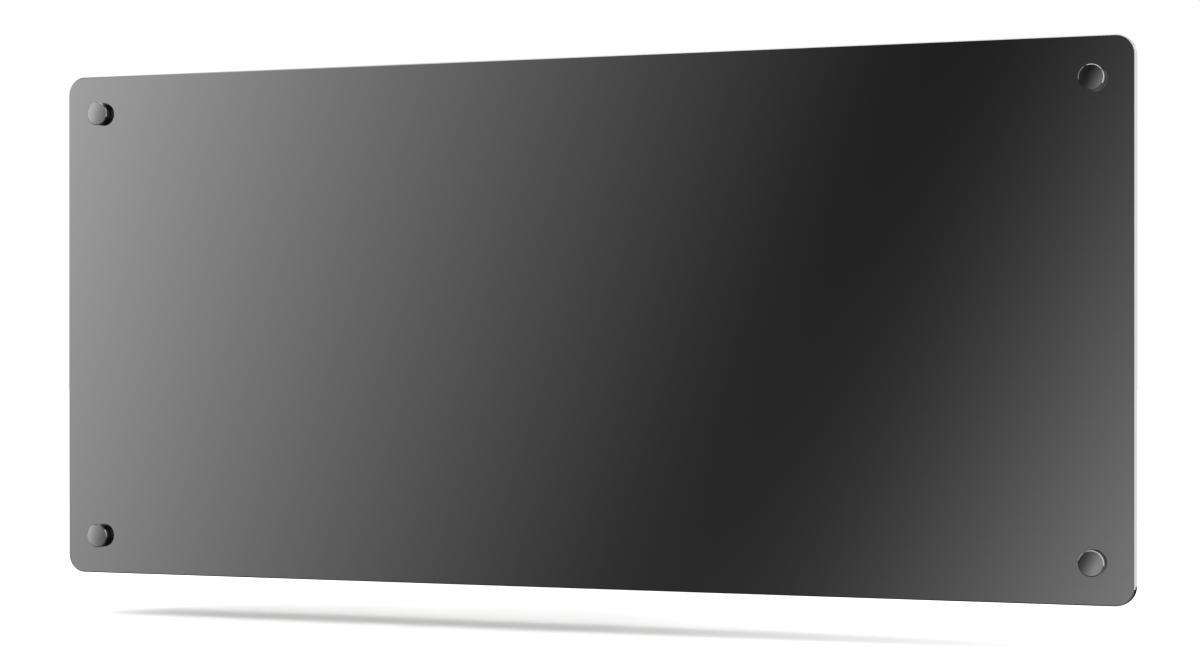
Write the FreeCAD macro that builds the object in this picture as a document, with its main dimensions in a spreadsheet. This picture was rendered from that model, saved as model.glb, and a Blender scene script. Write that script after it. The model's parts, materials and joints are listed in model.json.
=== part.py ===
import FreeCAD, Part
import math
import os
import Sketcher
from FreeCAD import Vector

# A wall-hung convector heater behind a frameless sheet of glass.
# Frame: X to the right seen from the front, Y from the room into the wall, Z up, in millimetres.
# The wall is the plane Y = 0, and the origin is the centre of the four wall screws.

SIZES = {
    # glass sheet
    "glass_width": 910,
    "glass_height": 420,
    "glass_thickness": 8,
    "glass_corner_radius": 15,
    "glass_edge_bevel": 0.8,
    "glass_hole": 12,
    "hole_inset": 31.5,
    # standoffs that carry the glass
    "cap_diameter": 19.5,
    "cap_height": 5.9,
    "cap_bevel": 1.1,
    "cap_face": 2,
    "washer_diameter": 17,
    "washer_thickness": 0.8,
    "post_diameter": 14,
    "post_length": 12,
    "stud_diameter": 6,
    "nut_flats": 10,
    "nut_height": 5,
    "stud_overhang": 1.5,
    # sheet steel casing
    "body_inset": 21,
    "body_depth": 66,
    "wall_gap": 16,
    "sheet": 1,
    "bend_radius": 3,
    "lip_height": 14,
    "end_flange": 18,
    "bead_height": 3,
    "bead_width": 22,
    "bead_side_gap": 84,
    "bead_spacing": 110,
    # warm air outlet in the top wall
    "outlet_side_gap": 38,
    "outlet_barrier_gap": 16,
    "outlet_depth": 44,
    "rim_width": 5,
    "rim_thickness": 1.6,
    "neck_height": 10,
    "neck_wall": 1.6,
    "blade_thickness": 1.4,
    "blade_lean": 4,
    "blade_count": 6,
    "rib_count": 6,
    # cold air inlet in the bottom wall
    "inlet_slot_length": 44,
    "inlet_slot_width": 6,
    "inlet_slot_pitch": 16,
    # finned aluminium element
    "element_side_gap": 36,
    "element_drop": 70,
    "core_width": 12,
    "core_height": 32,
    "wing_reach": 23,
    "wing_height": 34,
    "wing_thickness": 2.6,
    "fin_pitch": 24,
    "fin_gap": 4,
    "rod_diameter": 8,
    "rod_spacing": 18,
    "rod_overhang": 22,
    "pin_diameter": 4,
    "pin_length": 14,
    "bush_diameter": 13,
    "bush_flange": 17,
    "bush_flange_thickness": 3,
    "bush_length": 10,
    "element_end_gap": 12,
    "element_bracket_height": 64,
    "element_bracket_reach": 46,
    "bracket_sheet": 1.2,
    "foot_width": 14,
    "terminal_flats": 7,
    "terminal_height": 3.2,
    # heat shield behind the element
    "shield_sheet": 0.6,
    "shield_gap": 8,
    "shield_height": 150,
    "shield_setback": 5,
    # thermal cut-out above the element
    "cutout_offset": 120,
    "cutout_height": 26,
    "cutout_reach": 41,
    "cutout_diameter": 15,
    "cutout_body_height": 9,
    "cutout_cap_height": 5,
    "cutout_flange": 1.2,
    "cutout_arm_width": 24,
    "tab_width": 6.3,
    "tab_thickness": 0.8,
    "tab_height": 8,
    # control compartment at the right end
    "barrier_gap": 12,
    "barrier_sheet": 0.8,
    "control_end_gap": 26,
    "control_margin": 3.8,
    "panel_thickness": 2.5,
    "panel_wall": 2,
    "thermostat_box": 32,
    "thermostat_height": 22,
    "thermostat_neck": 10,
    "thermostat_neck_height": 5,
    "neck_nut_flats": 14,
    "neck_nut_height": 2.5,
    "shaft_diameter": 6,
    "shaft_flat_depth": 1.5,
    "shaft_flat_length": 9,
    "shaft_rise": 12,
    "shaft_seat": 18,
    "knob_diameter": 34,
    "grip_diameter": 28,
    "knob_height": 15,
    "knob_skirt_height": 3.5,
    "knob_recess": 4,
    "knob_recess_diameter": 22,
    "knob_flute_width": 2.6,
    "knob_flute_depth": 0.9,
    "knob_flute_count": 18,
    "knob_rest_angle": 45,
    "pointer_width": 1.6,
    "pointer_depth": 0.8,
    "pilot_gap": 5.5,
    "pilot_diameter": 7,
    "pilot_flange": 9,
    "pilot_height": 2.6,
    "pilot_body_length": 16,
    "switch_gap": 4,
    "switch_spacing": 7,
    "switch_end_gap": 4.3,
    "switch_width": 14,
    "switch_length": 20,
    "switch_depth": 18,
    "switch_flange": 1.5,
    "switch_flange_height": 1.8,
    "switch_wall": 1.2,
    "switch_well": 8.5,
    "rocker_radius": 8.6,
    "rocker_crown": 4,
    "rocker_keel": 4,
    "rocker_tilt": 9,
    "pivot_depth": 1.5,
    "trunnion_diameter": 2,
    "trunnion_length": 0.9,
    # supply terminals and cable gland
    "block_length": 40,
    "block_height": 20,
    "block_depth": 16,
    "block_drop": 110,
    "block_well": 6,
    "block_way_pitch": 12,
    "gland_thread": 16,
    "gland_flats": 22,
    "gland_flats_height": 4,
    "gland_dome_height": 12,
    "gland_dome_end": 15,
    "gland_rise": 10,
    "gland_bore": 8.4,
    "gland_nut_flats": 22,
    "gland_nut_height": 5,
    # wall brackets
    "bracket_spacing": 420,
    "bracket_screw_spacing": 150,
    "bracket_width": 44,
    "bracket_plate": 2,
    "bracket_bottom": 150,
    "bracket_top": 100,
    "bracket_slot_length": 12,
    "bracket_slot_width": 6,
    "hook_drop": 118,
    "hook_height": 12,
    "hook_finger": 8,
    "hook_pinch": 3,
    "hook_travel": 12,
    "ear_width": 30,
    "ear_height": 40,
    "ear_offset": 6,
    "latch_rise": 120,
    "latch_pivot": 6,
    "latch_head_length": 16,
    "latch_head_width": 5.4,
    "latch_head_thickness": 3,
    "latch_lever_length": 58,
    "latch_lever_width": 11,
    "latch_lever_thickness": 2,
    "latch_rivet_diameter": 10,
    "latch_rivet_thickness": 2,
    "latch_tab": 4,
    # plastic spacers at the foot of the back wall
    "spacer_side_gap": 44,
    "spacer_drop": 165,
    "spacer_diameter": 24,
    "spacer_tip": 18,
    "spacer_pin": 6,
    "spacer_pin_length": 4,
    # screws
    "screw_diameter": 4,
    "screw_head": 8,
    "screw_head_height": 2.4,
    "screw_length": 8,
    # clearances between pieces that fit together
    "fit_gap": 0.2,
    "screw_gap": 0.2,
    "running_gap": 0.05,
    "swing_gap": 0.4,
}

DOC = FreeCAD.newDocument("glass_convector_heater")
SHEET = DOC.addObject("Spreadsheet::Sheet", "sizes")
for row, (alias, number) in enumerate(SIZES.items(), 1):
    SHEET.set(f"A{row}", alias)
    SHEET.set(f"B{row}", str(number))
    SHEET.setAlias(f"B{row}", alias)
DOC.recompute()


class Size:
    """A length, with its present value and the spreadsheet expression that it follows."""

    def __init__(self, value, text):
        self.value = float(value)
        self.text = text

    def __add__(self, other):
        other = as_size(other)
        return Size(self.value + other.value, f"({self.text} + {other.text})")

    def __sub__(self, other):
        other = as_size(other)
        return Size(self.value - other.value, f"({self.text} - {other.text})")

    def __mul__(self, other):
        other = as_size(other)
        return Size(self.value * other.value, f"({self.text} * {other.text})")

    def __truediv__(self, other):
        other = as_size(other)
        return Size(self.value / other.value, f"({self.text} / {other.text})")

    def __neg__(self):
        return self * -1

    def __radd__(self, other):
        return as_size(other) + self

    def __rsub__(self, other):
        return as_size(other) - self

    def __rmul__(self, other):
        return as_size(other) * self


def as_size(number):
    """A plain number as a size that follows no cell."""
    return number if isinstance(number, Size) else Size(number, repr(float(number)))


def whole(size):
    """A size rounded down to a whole number, for a count."""
    return Size(math.floor(size.value), f"floor({size.text})")


def tangent(angle):
    """The tangent of a size that is an angle in degrees."""
    return Size(math.tan(math.radians(angle.value)), f"tan({angle.text} * 1 deg)")


def bind(target, name, size):
    """Sets a property to a size, and ties it to the size's cells."""
    target.setExpression(name, as_size(size).text)


class Sizes:
    """Each cell of the sheet as a Size, by its alias."""

    def __getattr__(self, alias):
        return Size(SHEET.get(alias), f"sizes.{alias}")


S = Sizes()
NORMAL_PLANES = {"XY": "XY_Plane", "XZ": "XZ_Plane", "YZ": "YZ_Plane"}
SUB_PARTS = []


def pin(sketch, geometry, point, x, y):
    """Holds one point of a sketch at two sizes from the sketch's origin."""
    for kind, size in (("DistanceX", as_size(x)), ("DistanceY", as_size(y))):
        index = sketch.addConstraint(Sketcher.Constraint(kind, -1, 1, geometry, point, size.value))
        tie(sketch, index, size)


def tie(sketch, index, size):
    """Names a constraint and ties its value to a size."""
    name = f"size_{index}"
    sketch.renameConstraint(index, name)
    bind(sketch, f"Constraints.{name}", size)


def polygon(sketch, points):
    """A closed outline through points, each a pair of sizes."""
    first = sketch.GeometryCount
    count = len(points)
    corners = [Vector(as_size(x).value, as_size(y).value, 0) for x, y in points]
    for i in range(count):
        sketch.addGeometry(Part.LineSegment(corners[i], corners[(i + 1) % count]), False)
    for i in range(count):
        sketch.addConstraint(Sketcher.Constraint("Coincident", first + i, 2, first + (i + 1) % count, 1))
    for i, (x, y) in enumerate(points):
        pin(sketch, first + i, 1, x, y)


def rectangle(sketch, x, y, width, height):
    """A rectangle of that width and height, centred on x, y."""
    left, right = x - width / 2, x + width / 2
    low, high = y - height / 2, y + height / 2
    polygon(sketch, [(left, low), (right, low), (right, high), (left, high)])


def circle(sketch, x, y, diameter):
    """A circle of that diameter, centred on x, y."""
    x, y, diameter = as_size(x), as_size(y), as_size(diameter)
    centre = Vector(x.value, y.value, 0)
    index = sketch.addGeometry(Part.Circle(centre, Vector(0, 0, 1), diameter.value / 2), False)
    pin(sketch, index, 3, x, y)
    tie(sketch, sketch.addConstraint(Sketcher.Constraint("Diameter", index, diameter.value)), diameter)


def ring(sketch, x, y, outside, inside):
    """Two circles with one centre."""
    circle(sketch, x, y, outside)
    circle(sketch, x, y, inside)


def hexagon(sketch, x, y, flats):
    """A hexagon of that width across flats, with two flats upright."""
    half = flats / 2
    corner = flats / math.sqrt(3)
    polygon(
        sketch,
        [
            (x + half, y - corner / 2),
            (x + half, y + corner / 2),
            (x, y + corner),
            (x - half, y + corner / 2),
            (x - half, y - corner / 2),
            (x, y - corner),
        ],
    )


def slot(sketch, x, y, length, width, upright=False):
    """A slot with round ends, centred on x, y, along the sketch's first axis or upright."""
    x, y = as_size(x), as_size(y)
    reach = (length - width) / 2
    ends = [(x, y + reach), (x, y - reach)] if upright else [(x - reach, y), (x + reach, y)]
    radius = as_size(width / 2)
    first = sketch.GeometryCount
    centres = [Vector(u.value, v.value, 0) for u, v in ends]
    side = Vector(radius.value, 0, 0) if upright else Vector(0, radius.value, 0)
    start = 0 if upright else math.pi / 2
    for i, centre in enumerate(centres):
        begin = start + i * math.pi
        arc = Part.ArcOfCircle(Part.Circle(centre, Vector(0, 0, 1), radius.value), begin, begin + math.pi)
        sketch.addGeometry(arc, False)
        away = side if i == 0 else side * -1
        sketch.addGeometry(Part.LineSegment(centre - away, centres[1 - i] - away), False)
    for i in range(4):
        sketch.addConstraint(Sketcher.Constraint("Tangent", first + i, 2, first + (i + 1) % 4, 1))
    sketch.addConstraint(Sketcher.Constraint("Equal", first, first + 2))
    for i, (u, v) in enumerate(ends):
        pin(sketch, first + 2 * i, 3, u, v)
    tie(sketch, sketch.addConstraint(Sketcher.Constraint("Radius", first, radius.value)), radius)


class Piece:
    """One sub-part: a body that sketches are added to and cut from."""

    def __init__(self, label):
        self.body = DOC.addObject("PartDesign::Body", label)
        self.body.Label = label
        self.planes = {feature.Role: feature for feature in self.body.Origin.OriginFeatures}
        SUB_PARTS.append(self.body)

    def sketch(self, plane, at=0, origin=(0, 0)):
        """A sketch on XY at height at, XZ at depth at, or YZ at that X. origin shifts it in its plane."""
        sketch = self.body.newObject("Sketcher::SketchObject", "outline")
        sketch.AttachmentSupport = [(self.planes[NORMAL_PLANES[plane]], "")]
        sketch.MapMode = "FlatFace"
        at = as_size(at)
        bind(sketch, "AttachmentOffset.Base.x", origin[0])
        bind(sketch, "AttachmentOffset.Base.y", origin[1])
        bind(sketch, "AttachmentOffset.Base.z", -at if plane == "XZ" else at)
        return sketch

    def feature(self, kind):
        """A new feature at the body's tip."""
        return self.body.newObject(f"PartDesign::{kind}", kind.lower())

    def add(self, sketch, length, way=1, both=False):
        """Pads a sketch: way 1 is up on XY, to the front on XZ, right on YZ. both pads half each way."""
        pad = self.feature("Pad")
        pad.Profile = sketch
        bind(pad, "Length", length)
        pad.Reversed = way < 0
        pad.Midplane = both
        DOC.recompute()
        return pad

    def cut(self, sketch, length, way=1, both=False):
        """Cuts a sketch into the body, the same ways as add."""
        before = self.body.Shape.Volume
        pocket = self.feature("Pocket")
        pocket.Profile = sketch
        bind(pocket, "Length", length)
        pocket.Reversed = way > 0
        pocket.Midplane = both
        DOC.recompute()
        if not self.body.Shape.Volume < before:
            raise RuntimeError(f"a cut in {self.body.Label} removed nothing")
        return pocket

    def turn(self, sketch, axis):
        """Revolves a sketch a full turn about its H_Axis or V_Axis."""
        revolution = self.feature("Revolution")
        revolution.Profile = sketch
        revolution.ReferenceAxis = (sketch, [axis])
        revolution.Angle = 360
        DOC.recompute()
        return revolution

    def row(self, features, axis, length, count):
        """Repeats features count times over a length along an axis of the frame."""
        pattern = self.feature("LinearPattern")
        pattern.Originals = features
        pattern.Direction = (self.planes[f"{axis}_Axis"], [""])
        bind(pattern, "Length", length)
        bind(pattern, "Occurrences", count)
        self.body.Tip = pattern
        DOC.recompute()
        return pattern

    def around(self, features, axis, count):
        """Repeats features count times round an axis of the body."""
        pattern = self.feature("PolarPattern")
        pattern.Originals = features
        pattern.Axis = (self.planes[f"{axis}_Axis"], [""])
        pattern.Angle = 360
        bind(pattern, "Occurrences", count)
        self.body.Tip = pattern
        DOC.recompute()
        return pattern

    def dress(self, kind, size_name, size, where):
        """Rounds or bevels the edges of the body that where picks."""
        base = self.body.Tip
        names = [f"Edge{i}" for i, edge in enumerate(base.Shape.Edges, 1) if where(edge)]
        if not names:
            raise RuntimeError(f"no edge of {self.body.Label} to dress")
        feature = self.feature(kind)
        feature.Base = (base, names)
        bind(feature, size_name, size)
        self.body.Tip = feature
        DOC.recompute()
        return feature

    def fillet(self, radius, where):
        """Rounds the edges that where picks."""
        return self.dress("Fillet", "Radius", radius, where)

    def chamfer(self, size, where):
        """Bevels the edges that where picks."""
        return self.dress("Chamfer", "Size", size, where)

    def place(self, x, y, z, axis, angle):
        """Moves the body, and turns it about an axis by an angle in degrees."""
        self.body.Placement.Rotation = FreeCAD.Rotation(axis, angle.value)
        bind(self.body, "Placement.Rotation.Angle", angle)
        for name, size in (("x", x), ("y", y), ("z", z)):
            bind(self.body, f"Placement.Base.{name}", size)
        DOC.recompute()


NEAR = 1e-4
SIDEWAYS = Vector(1, 0, 0)
DOWNWARD = Vector(0, 0, -1)


def near(number, size):
    """True for a number that is the size's value."""
    return abs(number - as_size(size).value) < NEAR


def is_level(edge, height):
    """True for an edge that lies flat at a height."""
    box = edge.BoundBox
    return box.ZLength < NEAR and near(box.ZMin, height)


def lies_along(edge, axis):
    """True for a straight edge along X, Y or Z."""
    box = edge.BoundBox
    spans = {"X": box.XLength, "Y": box.YLength, "Z": box.ZLength}
    return spans.pop(axis) > NEAR and max(spans.values()) < NEAR


# Places that several pieces share

back = -S.wall_gap
shell_front = back - S.body_depth
plate_front = shell_front - S.sheet
post_front = plate_front - S.post_length
glass_back = post_front - S.washer_thickness
glass_front = glass_back - S.glass_thickness
cap_back = glass_front - S.washer_thickness
middle = back - S.body_depth / 2
inner_back = back - S.sheet
inner_front = shell_front + S.sheet

body_width = S.glass_width - 2 * S.body_inset
body_height = S.glass_height - 2 * S.body_inset
half_width = body_width / 2
half_height = body_height / 2
inner_top = half_height - S.sheet

hole_x = S.glass_width / 2 - S.hole_inset
hole_z = S.glass_height / 2 - S.hole_inset
stud_hole = S.stud_diameter + 2 * S.screw_gap
screw_hole = S.screw_diameter + 2 * S.screw_gap
CORNERS = {"top_left": (-1, 1), "top_right": (1, 1), "bottom_left": (-1, -1), "bottom_right": (1, -1)}
SIDES = {"left": -1, "right": 1}
CORNER_HOLES = [(side * hole_x, level * hole_z) for side, level in CORNERS.values()]

lip_middle = half_height - S.lip_height / 2
PLATE_SCREWS = [(as_size(0), level * lip_middle) for level in (-1, 1)]
end_screw_x = half_width - S.end_flange / 2

control_edge = S.fit_gap + S.panel_wall
switch_outside = S.switch_width + 2 * S.switch_flange
control_right = half_width - S.control_end_gap
full_power_x = control_right - control_edge - S.switch_end_gap - switch_outside / 2
half_power_x = full_power_x - switch_outside - S.switch_spacing
pilot_x = half_power_x - switch_outside / 2 - S.switch_gap - S.pilot_flange / 2
thermostat_x = pilot_x - S.pilot_flange / 2 - S.pilot_gap - S.thermostat_box / 2
control_left = thermostat_x - S.thermostat_box / 2 - S.control_margin - control_edge
control_length = control_right - control_left
control_center = (control_right + control_left) / 2
SWITCHES = {"half_power": half_power_x, "full_power": full_power_x}

barrier_x = control_left - S.barrier_gap
outlet_right = barrier_x - S.outlet_barrier_gap
outlet_left = S.outlet_side_gap - half_width
outlet_length = outlet_right - outlet_left
outlet_center = (outlet_right + outlet_left) / 2
element_length = outlet_length - 2 * S.element_side_gap

element_z = -S.element_drop
rod_levels = {"upper": element_z + S.rod_spacing / 2, "lower": element_z - S.rod_spacing / 2}
rod_bore = S.rod_diameter + 2 * S.fit_gap
element_bracket_place = element_length / 2 + S.element_end_gap

cutout_x = outlet_center + S.cutout_offset
panel_top = half_height + S.panel_thickness
pivot_z = panel_top - S.pivot_depth
bracket_x = S.bracket_spacing / 2


def glass_panel():
    """The toughened glass sheet: round corners, bevelled edges and a hole for each standoff."""
    piece = Piece("glass_panel")
    outline = piece.sketch("XZ", glass_back)
    rectangle(outline, as_size(0), as_size(0), S.glass_width, S.glass_height)
    piece.add(outline, S.glass_thickness)
    piece.fillet(S.glass_corner_radius, lambda edge: lies_along(edge, "Y"))
    holes = piece.sketch("XZ", glass_back)
    for x, z in CORNER_HOLES:
        circle(holes, x, z, S.glass_hole)
    piece.cut(holes, S.glass_thickness)

    def on_rim(edge):
        """An edge of either face that isn't a hole's."""
        is_hole = hasattr(edge.Curve, "Radius") and near(edge.Curve.Radius, S.glass_hole / 2)
        return edge.BoundBox.YLength < NEAR and not is_hole

    piece.chamfer(S.glass_edge_bevel, on_rim)


def standoff_cap(corner, side, level):
    """A screw cap over the stud, in front of the glass."""
    piece = Piece(f"cap_{corner}")
    x, z = side * hole_x, level * hole_z
    disc = piece.sketch("XZ", cap_back)
    circle(disc, x, z, S.cap_diameter)
    piece.add(disc, S.cap_height)
    bore = piece.sketch("XZ", cap_back)
    circle(bore, x, z, stud_hole)
    piece.cut(bore, S.cap_height - S.cap_face)
    front = cap_back - S.cap_height
    piece.chamfer(S.cap_bevel, lambda edge: edge.BoundBox.YLength < NEAR and near(edge.BoundBox.YMin, front))


def standoff_post(corner, side, level):
    """The spacer tube between the casing and the glass."""
    piece = Piece(f"post_{corner}")
    tube = piece.sketch("XZ", plate_front)
    ring(tube, side * hole_x, level * hole_z, S.post_diameter, stud_hole)
    piece.add(tube, S.post_length)


def standoff_rings(label, at, length, outside):
    """A ring on each of the four studs, as one group."""
    piece = Piece(label)
    rings = piece.sketch("XZ", at)
    for x, z in CORNER_HOLES:
        ring(rings, x, z, outside, stud_hole)
    piece.add(rings, length)


def standoff_studs():
    """The threaded studs that run from the casing's lip into the caps."""
    piece = Piece("standoff_studs")
    rear = inner_front + S.nut_height + S.stud_overhang
    tip = cap_back - S.cap_height + S.cap_face + S.fit_gap
    studs = piece.sketch("XZ", rear)
    for x, z in CORNER_HOLES:
        circle(studs, x, z, S.stud_diameter)
    piece.add(studs, rear - tip)


def standoff_nuts():
    """The nuts behind the casing's lip."""
    piece = Piece("standoff_nuts")
    nuts = piece.sketch("XZ", inner_front)
    for x, z in CORNER_HOLES:
        hexagon(nuts, x, z, S.nut_flats)
        circle(nuts, x, z, stud_hole)
    piece.add(nuts, S.nut_height, way=-1)


def shell_profile(sketch):
    """The C section of the folded casing, in the YZ plane: back, top, bottom and two front lips."""
    lip = half_height - S.lip_height
    polygon(
        sketch,
        [
            (back, -half_height),
            (back, half_height),
            (shell_front, half_height),
            (shell_front, lip),
            (inner_front, lip),
            (inner_front, inner_top),
            (inner_back, inner_top),
            (inner_back, -inner_top),
            (inner_front, -inner_top),
            (inner_front, -lip),
            (shell_front, -lip),
            (shell_front, -half_height),
        ],
    )


def shell_bend(edge, depths, level):
    """True for a long edge of the casing at one of those depths, that high above or below the middle."""
    box = edge.BoundBox
    return lies_along(edge, "X") and any(near(box.YMin, y) for y in depths) and near(abs(box.ZMin), level)


def back_shell():
    """The folded steel casing, with the openings that air, hooks, latches, screws and the cable need."""
    piece = Piece("back_shell")
    section = piece.sketch("YZ")
    shell_profile(section)
    piece.add(section, body_width, both=True)
    piece.fillet(S.bend_radius, lambda edge: shell_bend(edge, (back, shell_front), half_height))
    piece.fillet(S.bend_radius - S.sheet, lambda edge: shell_bend(edge, (inner_back, inner_front), inner_top))

    top = piece.sketch("XY", half_height)
    rectangle(top, outlet_center, middle, outlet_length, S.outlet_depth)
    rectangle(top, control_center, middle, control_length, S.outlet_depth)
    for side in SIDES.values():
        circle(top, side * end_screw_x, middle, screw_hole)
    piece.cut(top, 2 * S.sheet, way=-1)

    bottom = piece.sketch("XY", -half_height)
    circle(bottom, control_center, middle, S.gland_thread + 2 * S.fit_gap)
    for side in SIDES.values():
        circle(bottom, side * end_screw_x, middle, screw_hole)
    piece.cut(bottom, 2 * S.sheet)
    back_shell_wall(piece)

    lips = piece.sketch("XZ", shell_front)
    for x, z in CORNER_HOLES:
        circle(lips, x, z, stud_hole)
    for x, z in PLATE_SCREWS:
        circle(lips, x, z, screw_hole)
    piece.cut(lips, 2 * S.sheet, way=-1)

    slot_count = whole(outlet_length / S.inlet_slot_pitch)
    inlet_run = S.inlet_slot_pitch * (slot_count - 1)
    inlet = piece.sketch("XY", -half_height)
    rectangle(inlet, outlet_center - inlet_run / 2, middle, S.inlet_slot_width, S.inlet_slot_length)
    piece.row([piece.cut(inlet, 2 * S.sheet)], "X", inlet_run, slot_count)


def back_shell_wall(piece):
    """The back wall's hook slots, latch slots and spacer holes."""
    wall = piece.sketch("XZ", back)
    slot_height = S.hook_height + S.hook_travel
    slot_middle = -S.hook_drop + S.hook_height - slot_height / 2
    for side in SIDES.values():
        for edge in (-1, 1):
            x = side * bracket_x + edge * (S.bracket_width - S.bracket_plate) / 2
            rectangle(wall, x, slot_middle, S.bracket_plate + 2 * S.swing_gap, slot_height)
        slot(
            wall,
            side * bracket_x,
            S.latch_rise,
            S.latch_head_length + 4 * S.swing_gap,
            S.latch_pivot + 2 * S.swing_gap,
            upright=True,
        )
        circle(wall, side * (half_width - S.spacer_side_gap), -S.spacer_drop, S.spacer_pin + 2 * S.fit_gap)
    piece.cut(wall, 2 * S.sheet)


def front_plate():
    """The flat steel front behind the glass, stiffened by three pressed beads."""
    piece = Piece("front_plate")
    outline = piece.sketch("XZ", shell_front)
    rectangle(outline, as_size(0), as_size(0), body_width, body_height)
    piece.add(outline, S.sheet)
    slope = S.bead_height
    outer = piece.sketch("YZ")
    inner = piece.sketch("YZ")
    for i in (-1, 0, 1):
        z = i * S.bead_spacing
        half = S.bead_width / 2
        polygon(
            outer,
            [
                (plate_front, z - half),
                (plate_front, z + half),
                (plate_front - S.bead_height, z + half - slope),
                (plate_front - S.bead_height, z - half + slope),
            ],
        )
        half = half - S.sheet
        polygon(
            inner,
            [
                (shell_front, z - half),
                (shell_front, z + half),
                (shell_front - S.bead_height, z + half - slope),
                (shell_front - S.bead_height, z - half + slope),
            ],
        )
    bead_length = body_width - 2 * S.bead_side_gap
    piece.add(outer, bead_length, both=True)
    piece.cut(inner, bead_length - 2 * S.sheet, both=True)
    holes = piece.sketch("XZ", shell_front)
    for x, z in CORNER_HOLES:
        circle(holes, x, z, stud_hole)
    for x, z in PLATE_SCREWS:
        circle(holes, x, z, screw_hole)
    piece.cut(holes, S.sheet)


def end_plate(name, side):
    """A steel tray that closes one end of the casing, with flanges at the top, bottom and back."""
    piece = Piece(f"{name}_end_plate")
    rear, front = inner_back - S.fit_gap, inner_front + S.fit_gap
    top = inner_top - S.fit_gap
    mouth = side * (half_width - S.end_flange)
    block = piece.sketch("YZ", mouth)
    polygon(block, [(rear, -top), (rear, top), (front, top), (front, -top)])
    piece.add(block, S.end_flange, way=side)
    piece.fillet(S.bend_radius, lambda edge: lies_along(edge, "X"))
    hollow = piece.sketch("YZ", mouth)
    inside, floor = top - S.sheet, rear - S.sheet
    ahead = front - S.sheet
    polygon(hollow, [(floor, -inside), (floor, inside), (ahead, inside), (ahead, -inside)])
    piece.cut(hollow, S.end_flange - S.sheet, way=side)
    piece.fillet(S.bend_radius - S.sheet, lambda edge: shell_bend(edge, (floor,), inside))
    through = 2 * S.sheet
    above = piece.sketch("XY", top)
    circle(above, side * end_screw_x, middle, screw_hole)
    piece.cut(above, through, way=-1)
    below = piece.sketch("XY", -top)
    circle(below, side * end_screw_x, middle, screw_hole)
    piece.cut(below, through)


def outlet_grille():
    """The warm air grille: a rim on the top wall, a neck in its opening, leaning blades and cross ribs."""
    piece = Piece("outlet_grille")
    x = outlet_center
    neck_length = outlet_length - 2 * S.fit_gap
    neck_depth = S.outlet_depth - 2 * S.fit_gap
    clear_length = neck_length - 2 * S.neck_wall
    clear_depth = neck_depth - 2 * S.neck_wall
    rim = piece.sketch("XY", half_height)
    rectangle(rim, x, middle, outlet_length + 2 * S.rim_width, S.outlet_depth + 2 * S.rim_width)
    rectangle(rim, x, middle, clear_length, clear_depth)
    piece.add(rim, S.rim_thickness)
    neck = piece.sketch("XY", half_height)
    rectangle(neck, x, middle, neck_length, neck_depth)
    rectangle(neck, x, middle, clear_length, clear_depth)
    piece.add(neck, S.neck_height, way=-1)
    foot, head = half_height - S.neck_height, half_height + S.rim_thickness
    pitch = clear_depth / S.blade_count
    rear = middle + clear_depth / 2 - pitch / 2
    blade = piece.sketch("YZ", x)
    polygon(
        blade,
        [
            (rear, foot),
            (rear - S.blade_thickness, foot),
            (rear - S.blade_thickness - S.blade_lean, head),
            (rear - S.blade_lean, head),
        ],
    )
    pad = piece.add(blade, clear_length, both=True)
    blades = piece.row([pad], "Y", pitch * (S.blade_count - 1), S.blade_count)
    blades.Reversed = True
    rib_pitch = clear_length / (S.rib_count + 1)
    rib = piece.sketch("XY", foot)
    rectangle(rib, x - rib_pitch * (S.rib_count - 1) / 2, middle, S.blade_thickness, clear_depth)
    ribs = piece.add(rib, S.neck_height / 2)
    piece.row([ribs], "X", rib_pitch * (S.rib_count - 1), S.rib_count)


def folded_stand(piece, x, side, reach, low, high, sheet):
    """An upright sheet on the back wall, at X and square to it, with a foot folded away to one side."""
    section = piece.sketch("XY", low)
    polygon(
        section,
        [
            (x, inner_back),
            (x + side * S.foot_width, inner_back),
            (x + side * S.foot_width, inner_back - sheet),
            (x + side * sheet, inner_back - sheet),
            (x + side * sheet, inner_back - reach),
            (x, inner_back - reach),
        ],
    )
    piece.add(section, high - low)


def heat_barrier():
    """The partition between the hot chamber and the controls."""
    piece = Piece("heat_barrier")
    edge = inner_top - S.bend_radius
    reach = S.body_depth - 2 * S.sheet - S.swing_gap
    folded_stand(piece, barrier_x, 1, reach, -edge, edge, S.barrier_sheet)


def heat_shield():
    """The bright tray behind the element that keeps heat off the back wall."""
    piece = Piece("heat_shield")
    face = inner_back - S.shield_gap
    low = element_z - S.shield_height / 2
    high = element_z + S.shield_height / 2
    inner = face + S.shield_sheet
    section = piece.sketch("YZ", outlet_center)
    polygon(
        section,
        [
            (inner_back, low),
            (face, low),
            (face, high),
            (inner_back, high),
            (inner_back, high - S.shield_sheet),
            (inner, high - S.shield_sheet),
            (inner, low + S.shield_sheet),
            (inner_back, low + S.shield_sheet),
        ],
    )
    piece.add(section, element_length - 2 * S.shield_setback, both=True)


def element_profile(sketch):
    """The element's X section: an upright core and a wing from each of its corners."""
    half, tall = S.core_width / 2, S.core_height / 2
    web = S.wing_thickness
    quarter = [
        (half, tall - web),
        (S.wing_reach, S.wing_height - web),
        (S.wing_reach - web / 2, S.wing_height),
        (half - web / 2, tall),
    ]
    points = quarter + [(-y, z) for y, z in reversed(quarter)]
    points += [(-y, -z) for y, z in quarter] + [(y, -z) for y, z in reversed(quarter)]
    polygon(sketch, points)


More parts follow.
